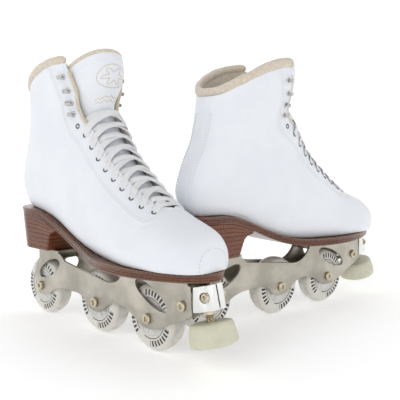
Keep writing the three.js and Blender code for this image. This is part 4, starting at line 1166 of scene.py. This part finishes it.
# ------------------------------------------------------------------ shader maths
class Val:
    """A socket that can be used in Python expressions; each operator adds a Math node."""

    def __init__(self, look, socket):
        self.look = look
        self.socket = socket

    def _do(self, operation, *others):
        values = dict(enumerate((self,) + others))
        return self.look.out(self.look.node("ShaderNodeMath", {"operation": operation}, values))

    def __add__(self, other):
        return self._do("ADD", other)

    def __mul__(self, other):
        return self._do("MULTIPLY", other)

    def __sub__(self, other):
        return self._do("SUBTRACT", other)

    def __rsub__(self, other):
        return (self * -1.0) + other

    def __truediv__(self, other):
        return self._do("DIVIDE", other)

    def __rtruediv__(self, other):
        return self._do("POWER", -1.0) * other

    __radd__ = __add__
    __rmul__ = __mul__

    def sine(self):
        return self._do("SINE")

    def fraction(self):
        return self._do("FRACT")

    def size(self):
        return self._do("ABSOLUTE")

    def above(self, level):
        return self._do("GREATER_THAN", level)

    def below(self, level):
        return self._do("LESS_THAN", level)

    def most(self, other):
        return self._do("MAXIMUM", other)

    def least(self, other):
        return self._do("MINIMUM", other)

    def ramp(self, low, high):
        """0 below low to 1 above high, eased."""
        node = self.look.node("ShaderNodeMapRange", {"interpolation_type": "SMOOTHSTEP"},
                              {"Value": self, "From Min": low, "From Max": high})
        return self.look.out(node)


class Look:
    """A material under construction, with one Principled shader."""

    def __init__(self, name, colour, roughness=0.5, **sockets):
        self.material = bpy.data.materials.new(name)
        self.material.use_nodes = True
        self.tree = self.material.node_tree
        self.shader = self.tree.nodes["Principled BSDF"]
        self.shader.inputs["Base Color"].default_value = (*colour, 1)
        self.shader.inputs["Roughness"].default_value = roughness
        for key, value in sockets.items():
            socket = self.shader.inputs[key.replace("_", " ")]
            socket.default_value = value
        self.coords = None

    def node(self, kind, settings=None, values=None):
        node = self.tree.nodes.new(kind)
        for key, value in (settings or {}).items():
            setattr(node, key, value)
        for key, value in (values or {}).items():
            if isinstance(value, Val):
                self.tree.links.new(value.socket, node.inputs[key])
            else:
                node.inputs[key].default_value = value
        return node

    def out(self, node, key=0):
        return Val(self, node.outputs[key])

    def place(self, scale=(1, 1, 1), turn=(0, 0, 0)):
        """Object coordinates, stretched and turned."""
        if self.coords is None:
            self.coords = self.out(self.node("ShaderNodeTexCoord"), "Object")
        node = self.node("ShaderNodeMapping", {}, {"Vector": self.coords, "Scale": scale, "Rotation": turn})
        return self.out(node)

    def noise(self, scale, detail=3.0, rough=0.55, at=None, distortion=0.0):
        node = self.node("ShaderNodeTexNoise", {}, {"Vector": at or self.place(), "Scale": scale,
                                                    "Detail": detail, "Roughness": rough,
                                                    "Distortion": distortion})
        return self.out(node, 0)

    def cells(self, scale, feature="F1", at=None):
        node = self.node("ShaderNodeTexVoronoi", {"feature": feature},
                         {"Vector": at or self.place(), "Scale": scale})
        return self.out(node, "Distance")

    def skin(self):
        """The piece's own map, as (u, v)."""
        node = self.node("ShaderNodeSeparateXYZ", {}, {0: self.out(self.node("ShaderNodeUVMap"))})
        return self.out(node, 0), self.out(node, 1)

    def mix(self, factor, a, b):
        a, b = (c if isinstance(c, Val) else (*c, 1) for c in (a, b))
        values = {0: factor, 6: a, 7: b}
        return self.out(self.node("ShaderNodeMix", {"data_type": "RGBA"}, values), 2)

    def feed(self, **links):
        for key, value in links.items():
            self.tree.links.new(value.socket, self.shader.inputs[key.replace("_", " ")])
        return self

    def bump(self, height, distance, strength=1.0):
        """Raises the surface by height times distance, in metres."""
        values = {"Height": height, "Distance": distance, "Strength": strength}
        last = self.shader.inputs["Normal"]
        node = self.node("ShaderNodeBump", {}, values)
        if last.is_linked:
            self.tree.links.new(last.links[0].from_socket, node.inputs["Normal"])
        self.tree.links.new(node.outputs["Normal"], last)
        return self


def white_leather():
    """Smooth grained leather: fine pebbles, faint creases and a cool white that greys a
    little in random patches."""
    k = Look("white_leather", (0.79, 0.82, 0.87), 0.42, Coat_Weight=0.12, Coat_Roughness=0.3)
    grain = k.cells(950, "DISTANCE_TO_EDGE").least(0.35)
    soft = k.noise(26, 4)
    crease = k.noise(75, 5, 0.6, distortion=0.8)
    k.feed(Base_Color=k.mix(soft.ramp(0.35, 0.7), (0.785, 0.81, 0.86), (0.82, 0.843, 0.885)),
           Roughness=soft * 0.12 + k.noise(420, 2) * 0.10 + 0.32)
    return k.bump(grain, 0.00022, 0.5).bump(crease, 0.0006, 0.35).material


def beige_lining(name="beige_lining", colour=(0.74, 0.65, 0.54), pile=0.0008):
    """Brushed pile: tufts of two sizes over a soft weave."""
    k = Look(name, colour, 0.95, Sheen_Weight=0.5, Sheen_Roughness=0.5)
    tufts = k.noise(900, 4, 0.7)
    clumps = k.cells(330)
    shade = tufts * 0.5 + clumps * 0.5
    dark = tuple(c * 0.8 for c in colour)
    k.feed(Base_Color=k.mix(shade.ramp(0.2, 0.75), dark, colour))
    return k.bump(tufts, pile, 0.6).bump(clumps, pile * 0.8, 0.5).material


def tongue_lining():
    """Quilted grey-beige mesh: rows of small holes set in a square pattern."""
    k = Look("tongue_mesh", (0.58, 0.56, 0.53), 0.85, Sheen_Weight=0.25)
    u, v = k.skin()
    holes = ((u * 1.6).sine() * (v * 1.6).sine()).size()
    k.feed(Base_Color=k.mix(holes.ramp(0.3, 0.8), (0.62, 0.6, 0.56), (0.33, 0.31, 0.29)))
    return k.bump(holes, 0.0005, 0.6).bump(k.noise(600), 0.0003, 0.5).material


def lace_cloth():
    """Flat braid: diagonal ribs that meet on the middle line like herringbone."""
    k = Look("lace_cloth", (0.86, 0.87, 0.89), 0.85, Sheen_Weight=0.25)
    u, v = k.skin()
    rib = ((v + u.size() * 0.9) * 6.2).sine()
    cross = (u * 8.4).sine()
    weave = rib * 0.6 + cross * 0.4
    k.feed(Base_Color=k.mix(weave.ramp(-0.8, 0.5), (0.76, 0.77, 0.8), (0.93, 0.93, 0.94)))
    return k.bump(weave, 0.00022, 0.8).bump(k.noise(1500, 2), 0.0001, 0.5).material


def thread(name, colour):
    """Waxed thread with a fine twist."""
    k = Look(name, colour, 0.55)
    twist = k.noise(2200, 2, at=k.place((1, 1, 3), (0.6, 0.4, 0)))
    k.feed(Base_Color=k.mix(twist, tuple(c * 0.72 for c in colour), colour))
    return k.bump(twist, 0.0001, 0.6).material


def stacked_leather(name, light, dark, gloss):
    """Layered leather edge: thin level lines under wax, small pores."""
    k = Look(name, light, 0.3, Coat_Weight=gloss, Coat_Roughness=0.12)
    layers = k.noise(14, 2, 0.5, at=k.place((1, 1, 24)))
    pores = k.noise(600, 3, 0.6)
    cloud = k.noise(18, 2)
    tone = layers * 0.45 + cloud * 0.4 + pores * 0.15
    k.feed(Base_Color=k.mix(tone.ramp(0.25, 0.75), dark, light),
           Roughness=pores * 0.12 + cloud * 0.12 + 0.16)
    return k.bump(layers, 0.0002, 0.2).bump(pores, 0.0001, 0.3).material


def aluminium():
    """Tumbled aluminium: a fine satin grain, faint long scratches and warm cloudy tone."""
    k = Look("satin_aluminium", (0.62, 0.59, 0.54), 0.34, Metallic=1.0)
    brushed = k.noise(70, 5, 0.7, at=k.place((1.0, 1.0, 26.0)))
    fine = k.noise(1800, 2)
    cloud = k.noise(22, 3)
    scratch = k.noise(55, 2, at=k.place((14, 14, 1), (0.3, 0.9, 0.4))).ramp(0.68, 0.74)
    k.feed(Base_Color=k.mix(cloud.ramp(0.3, 0.75), (0.36, 0.335, 0.285), (0.56, 0.525, 0.46)),
           Roughness=brushed * 0.2 + fine * 0.08 + scratch * 0.1 + 0.16)
    return k.bump(brushed, 0.00008, 0.5).bump(fine, 0.00003, 0.5).material


def chrome():
    """Polished chrome over a cast part: almost a mirror, with a slight orange peel."""
    k = Look("polished_chrome", (0.8, 0.8, 0.79), 0.12, Metallic=1.0)
    peel = k.noise(160, 2)
    k.feed(Roughness=peel * 0.1 + k.noise(900, 3) * 0.06 + 0.05)
    return k.bump(peel, 0.00012, 0.35).material


def plated(name, light, dark):
    """Plated steel: a bright skin with dull handled patches."""
    k = Look(name, light, 0.25, Metallic=1.0)
    patch = k.noise(240, 4, 0.6)
    k.feed(Base_Color=k.mix(patch.ramp(0.35, 0.7), dark, light), Roughness=patch * 0.3 + 0.12)
    return k.bump(k.noise(1300, 2), 0.00003, 0.5).material


def urethane():
    """Cast urethane: milky and slightly clear, with road dust on the tread and a printed
    ring of plain bars on each side; v is the radius in millimetres, u the turn."""
    k = Look("cast_urethane", (0.68, 0.66, 0.61), 0.3, Subsurface_Weight=0.35,
             Subsurface_Radius=(0.006, 0.005, 0.004), Subsurface_Scale=1.0, Coat_Weight=0.15)
    u, v = k.skin()
    ring = v.above(22.6) * v.below(28.4)
    gate = (u * 3.0).fraction().below(0.6)
    bars = (u * 36.0).fraction().below(0.56)
    fine = (v - 20.6).size().below(0.45) * (u * 3.0).fraction().below(0.8)
    mark = (ring * gate * bars).most(fine)
    dust = v.ramp(31.0, 33.4) * k.noise(120, 4).ramp(0.35, 0.7)
    plain = k.mix(k.noise(40, 3), (0.62, 0.6, 0.55), (0.74, 0.72, 0.67))
    worn = k.mix(dust * 0.6, plain, (0.42, 0.4, 0.36))
    k.feed(Base_Color=k.mix(mark, worn, (0.03, 0.03, 0.032)),
           Roughness=dust * 0.35 + k.noise(500, 2) * 0.1 + 0.22)
    return k.bump(k.noise(420, 3), 0.00008, 0.5).material


def moulded(name, colour, rough):
    """Moulded plastic or rubber with a fine matt texture and slight mottling."""
    k = Look(name, colour, rough, Subsurface_Weight=0.08, Subsurface_Radius=(0.003, 0.0025, 0.002),
             Subsurface_Scale=1.0)
    mottle = k.noise(60, 4, 0.6)
    k.feed(Base_Color=k.mix(mottle.ramp(0.3, 0.75), tuple(c * 0.88 for c in colour), colour),
           Roughness=mottle * 0.15 + rough - 0.07)
    return k.bump(k.noise(1100, 3), 0.0001, 0.5).bump(k.noise(150, 2), 0.0002, 0.3).material


LOOKS = {
    "leather": white_leather(), "lining": beige_lining(),
    "binding": beige_lining("beige_binding", (0.72, 0.62, 0.49), 0.0005),
    "mesh": tongue_lining(), "lace": lace_cloth(), "thread": thread("white_thread", (0.8, 0.81, 0.83)),
    "tan": thread("tan_thread", (0.55, 0.42, 0.27)), "gold": thread("gold_thread", (0.66, 0.5, 0.2)),
    "sole": stacked_leather("waxed_sole_leather", (0.155, 0.052, 0.02), (0.085, 0.028, 0.012), 0.3),
    "heel": stacked_leather("stacked_heel_leather", (0.19, 0.058, 0.022), (0.115, 0.034, 0.014), 0.12),
    "aluminium": aluminium(), "chrome": chrome(),
    "nickel": plated("plated_bolt", (0.72, 0.66, 0.52), (0.5, 0.44, 0.32)),
    "steel": plated("bearing_steel", (0.6, 0.6, 0.61), (0.36, 0.36, 0.37)),
    "eyelet": plated("eyelet_enamel", (0.2, 0.2, 0.21), (0.12, 0.12, 0.13)),
    "hook": plated("hook_nickel", (0.62, 0.61, 0.6), (0.42, 0.41, 0.4)),
    # near black: painted shadow for the discs in the eyelet holes
    "dark": moulded("eyelet_shadow", (0.03, 0.03, 0.032), 0.8),
    "urethane": urethane(), "hub": moulded("hub_nylon", (0.76, 0.75, 0.72), 0.45),
    "rubber": moulded("stop_rubber", (0.66, 0.645, 0.5), 0.55),
}


# ------------------------------------------------------------------ putting it together
def fit_out(piece, look, body, nodes=()):
    """Gives a piece its material and its body, and hides the CAD nodes that it replaces."""
    piece.data.materials.clear()
    piece.data.materials.append(LOOKS[look])
    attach(piece, body)
    if nodes:
        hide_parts(*nodes)
    return piece


def tongue_badge(skate):
    """Plain gold stitching on the tongue: a six-petal rosette over two wavy lines."""
    rows = []
    turn = np.linspace(0, 2 * np.pi, 120)
    size = 0.52 + 0.2 * np.cos(6 * turn)
    spots = [(0.42 * size * np.cos(turn), 14.35 + 1.25 * size * np.sin(turn))]
    ring = 0.62
    spots.append((0.42 * ring * 1.45 * np.cos(turn), 14.35 + 1.25 * ring * 1.45 * np.sin(turn)))
    across = np.linspace(-0.42, 0.42, 60)
    for low in (12.55, 12.25):
        spots.append((across, low + 0.07 * np.sin(across * 30)))
    for v, s in spots:
        path = on_tongue(v, s, 0.15)
        normal = outward(np.clip(s, 5, 16), 0.06, 1.0)
        rows.append(stitches(skate, "row", path, normal, 1.5, 0.25, 0.8, 0.5))
    return join(rows, skate.hand + "_tongue_rosette")


def build(skate):
    """All the pieces of one skate."""
    h, body = skate.hand, skate.body
    stop = h + "_toe_stop"

    def add(piece, look, slot, *nodes, on=body, fill=None):
        fit_out(piece, look, on, [h + "_" + node for node in nodes])

    add(upper_piece(skate), "leather", "white_leather", "leather_upper")
    add(lining_piece(skate), "lining", "beige_lining", "leather_upper")
    add(boot_seams(skate), "thread", "lace_fabric")
    for side, name in ((1, "lateral_binding"), (-1, "medial_binding")):
        add(binding_piece(skate, side, name), "binding", "beige_lining")
    add(collar_piece(skate), "lining", "beige_lining", "padded_collar", fill=0.8)
    face = tongue_layer(skate, h + "_tongue_face", -0.6, 3.0, 4.5, 16.5, 0.5)
    add(face, "leather", "white_leather", "tongue", fill=0.7)
    back = tongue_layer(skate, h + "_tongue_back", 3.1, 6.2, 4.6, 16.45, 0.6)
    add(back, "mesh", "beige_lining", "tongue", fill=0.6)
    add(tongue_rim(skate), "lining", "beige_lining", fill=0.8)
    add(tongue_badge(skate), "gold", "lace_fabric")
    add(lace_piece(skate), "lace", "lace_fabric", "lace")
    add(eyelet_rings(skate), "eyelet", "plated_steel")
    # near-black discs: painted shadow inside the eyelets
    add(eyelet_shadow_discs(skate), "dark", "plated_steel")
    add(hook_pieces(skate), "hook", "plated_steel")
    add(footbed_piece(skate), "lining", "beige_lining", "footbed")
    add(outsole_piece(skate), "sole", "sole_leather", "outsole")
    add(welt_stitching(skate), "tan", "sole_leather")
    add(heel_piece(skate), "heel", "heel_leather", "stacked_heel")
    for side, hand in ((1, "lateral"), (-1, "medial")):
        add(side_plate(skate, hand + "_frame_plate", side), "aluminium", "frame_aluminium",
            hand + "_side_plate")
    for node, name in (("heel_mounting_plate", "heel_mount"), ("sole_mounting_plate", "sole_mount")):
        add(eased_copy(h + "_" + node, h + "_" + name), "aluminium", "frame_aluminium", node)
    add(eased_copy(h + "_stop_clamp_bracket", h + "_clamp_bracket", 0.0005), "chrome",
        "polished_chrome", "stop_clamp_bracket")
    add(hex_nut(skate, "lock_nut", 17.2, 21.2, 6.1, 4.4), "nickel", "plated_steel", "stop_jam_nut")
    add(stop_stem(skate), "nickel", "plated_steel", "toe_stop_stem", on=stop)
    add(stop_pad(skate), "rubber", "stop_rubber", "toe_stop_pad", on=stop)
    for place, x in AXLES.items():
        tyre, hub, bearing = wheel_parts(skate, place)
        wheel = f"{h}_{place}_wheel"
        add(tyre, "urethane", "wheel_urethane", place + "_tyre", on=wheel)
        add(hub, "hub", "hub_nylon", place + "_hub", on=wheel)
        add(bearing, "steel", "bearing_steel", place + "_bearings", on=wheel)
        add(bolt(skate, place + "_axle_bolt", [x, 0, AXLE_Z], SIDEWAYS, BOLT_GRIP, 4.0, 5.2, 2.5, 2.3),
            "nickel", "plated_steel", place + "_axle")
    add(bolt(skate, "bracket_screw", [134, 0, 56], SIDEWAYS, BOLT_GRIP, 3.0, 4.9, 2.4, 2.1), "nickel",
        "plated_steel", "bracket_bolt")
    clamp = stem_point(34) + 9 * STOP_ACROSS
    add(bolt(skate, "clamp_screw", clamp, SIDEWAYS, 9.6, 2.5, 4.3, 2.7, 1.9), "nickel",
        "plated_steel", "clamp_bolt")


for one in SKATES:
    build(one)


# ------------------------------------------------------------------ floor, light and camera
def stage_bowl():
    """Pale floor that curves up all round: a flat disc, a quarter circle of radius 1.2 m and
    a wall, turned about the z axis."""
    bend = np.linspace(0, np.pi / 2, 24)
    curve, wall, high, below = 1.2, 3.4, 4.2, 0.0004
    r = np.r_[wall - curve + curve * np.sin(bend), wall]
    z = np.r_[curve - curve * np.cos(bend), high] - below
    turn = np.linspace(0, 2 * np.pi, 96, endpoint=False)
    rings = np.stack([r[:, None] * np.cos(turn), r[:, None] * np.sin(turn), z[:, None] + 0 * turn], -1)
    points = np.concatenate([rings.reshape(-1, 3), [[0, 0, -below]]])
    middle = [(j, (j + 1) % len(turn), len(points) - 1) for j in range(len(turn))]
    faces = grid_faces(len(r), len(turn), wrap_cols=True)
    mesh = bpy.data.meshes.new("studio_floor")
    mesh.from_pydata(points.tolist(), [], faces + middle)
    mesh.update()
    mesh.shade_smooth()
    floor = bpy.data.objects.new("studio_floor", mesh)
    bpy.context.scene.collection.objects.link(floor)
    k = Look("studio_paper", (0.93, 0.93, 0.93), 0.9, Emission_Color=(1, 1, 1, 1), Emission_Strength=0.29)
    k.feed(Base_Color=k.mix(k.noise(5, 2), (0.925, 0.925, 0.925), (0.935, 0.935, 0.935)))
    floor.data.materials.append(k.material)


def soft_light(name, at, towards, size, power):
    """A square area light aimed at a point."""
    data = bpy.data.lights.new(name, "AREA")
    data.size = size
    data.energy = power
    lamp = bpy.data.objects.new(name, data)
    lamp.location = at
    lamp.visible_camera = False
    lamp.rotation_euler = (Vector(towards) - Vector(at)).to_track_quat("-Z", "Y").to_euler()
    bpy.context.scene.collection.objects.link(lamp)


stage_bowl()
TARGET = (0.0, 0.0, 0.14)
soft_light("key_light", (-1.5, -1.6, 2.2), TARGET, 1.2, 9)
soft_light("fill_light", (1.9, -1.4, 1.1), TARGET, 1.6, 1.5)
soft_light("top_light", (0.2, 0.6, 2.6), TARGET, 1.6, 4)
world = bpy.data.worlds.new("studio")
world.use_nodes = True
world.node_tree.nodes["Background"].inputs["Color"].default_value = (1, 1, 1, 1)
world.node_tree.nodes["Background"].inputs["Strength"].default_value = 0.3
bpy.context.scene.world = world

camera = bpy.data.cameras.new("camera")
camera.lens = 58.3
camera.sensor_width = 36
viewpoint = bpy.data.objects.new("camera", camera)
viewpoint.location = (-0.01227, -0.7129, 0.2191)
viewpoint.rotation_euler = (np.radians(90 - 6.44), 0, 0)
bpy.context.scene.collection.objects.link(viewpoint)
bpy.context.scene.camera = viewpoint
bpy.context.scene.view_settings.view_transform = "Standard"
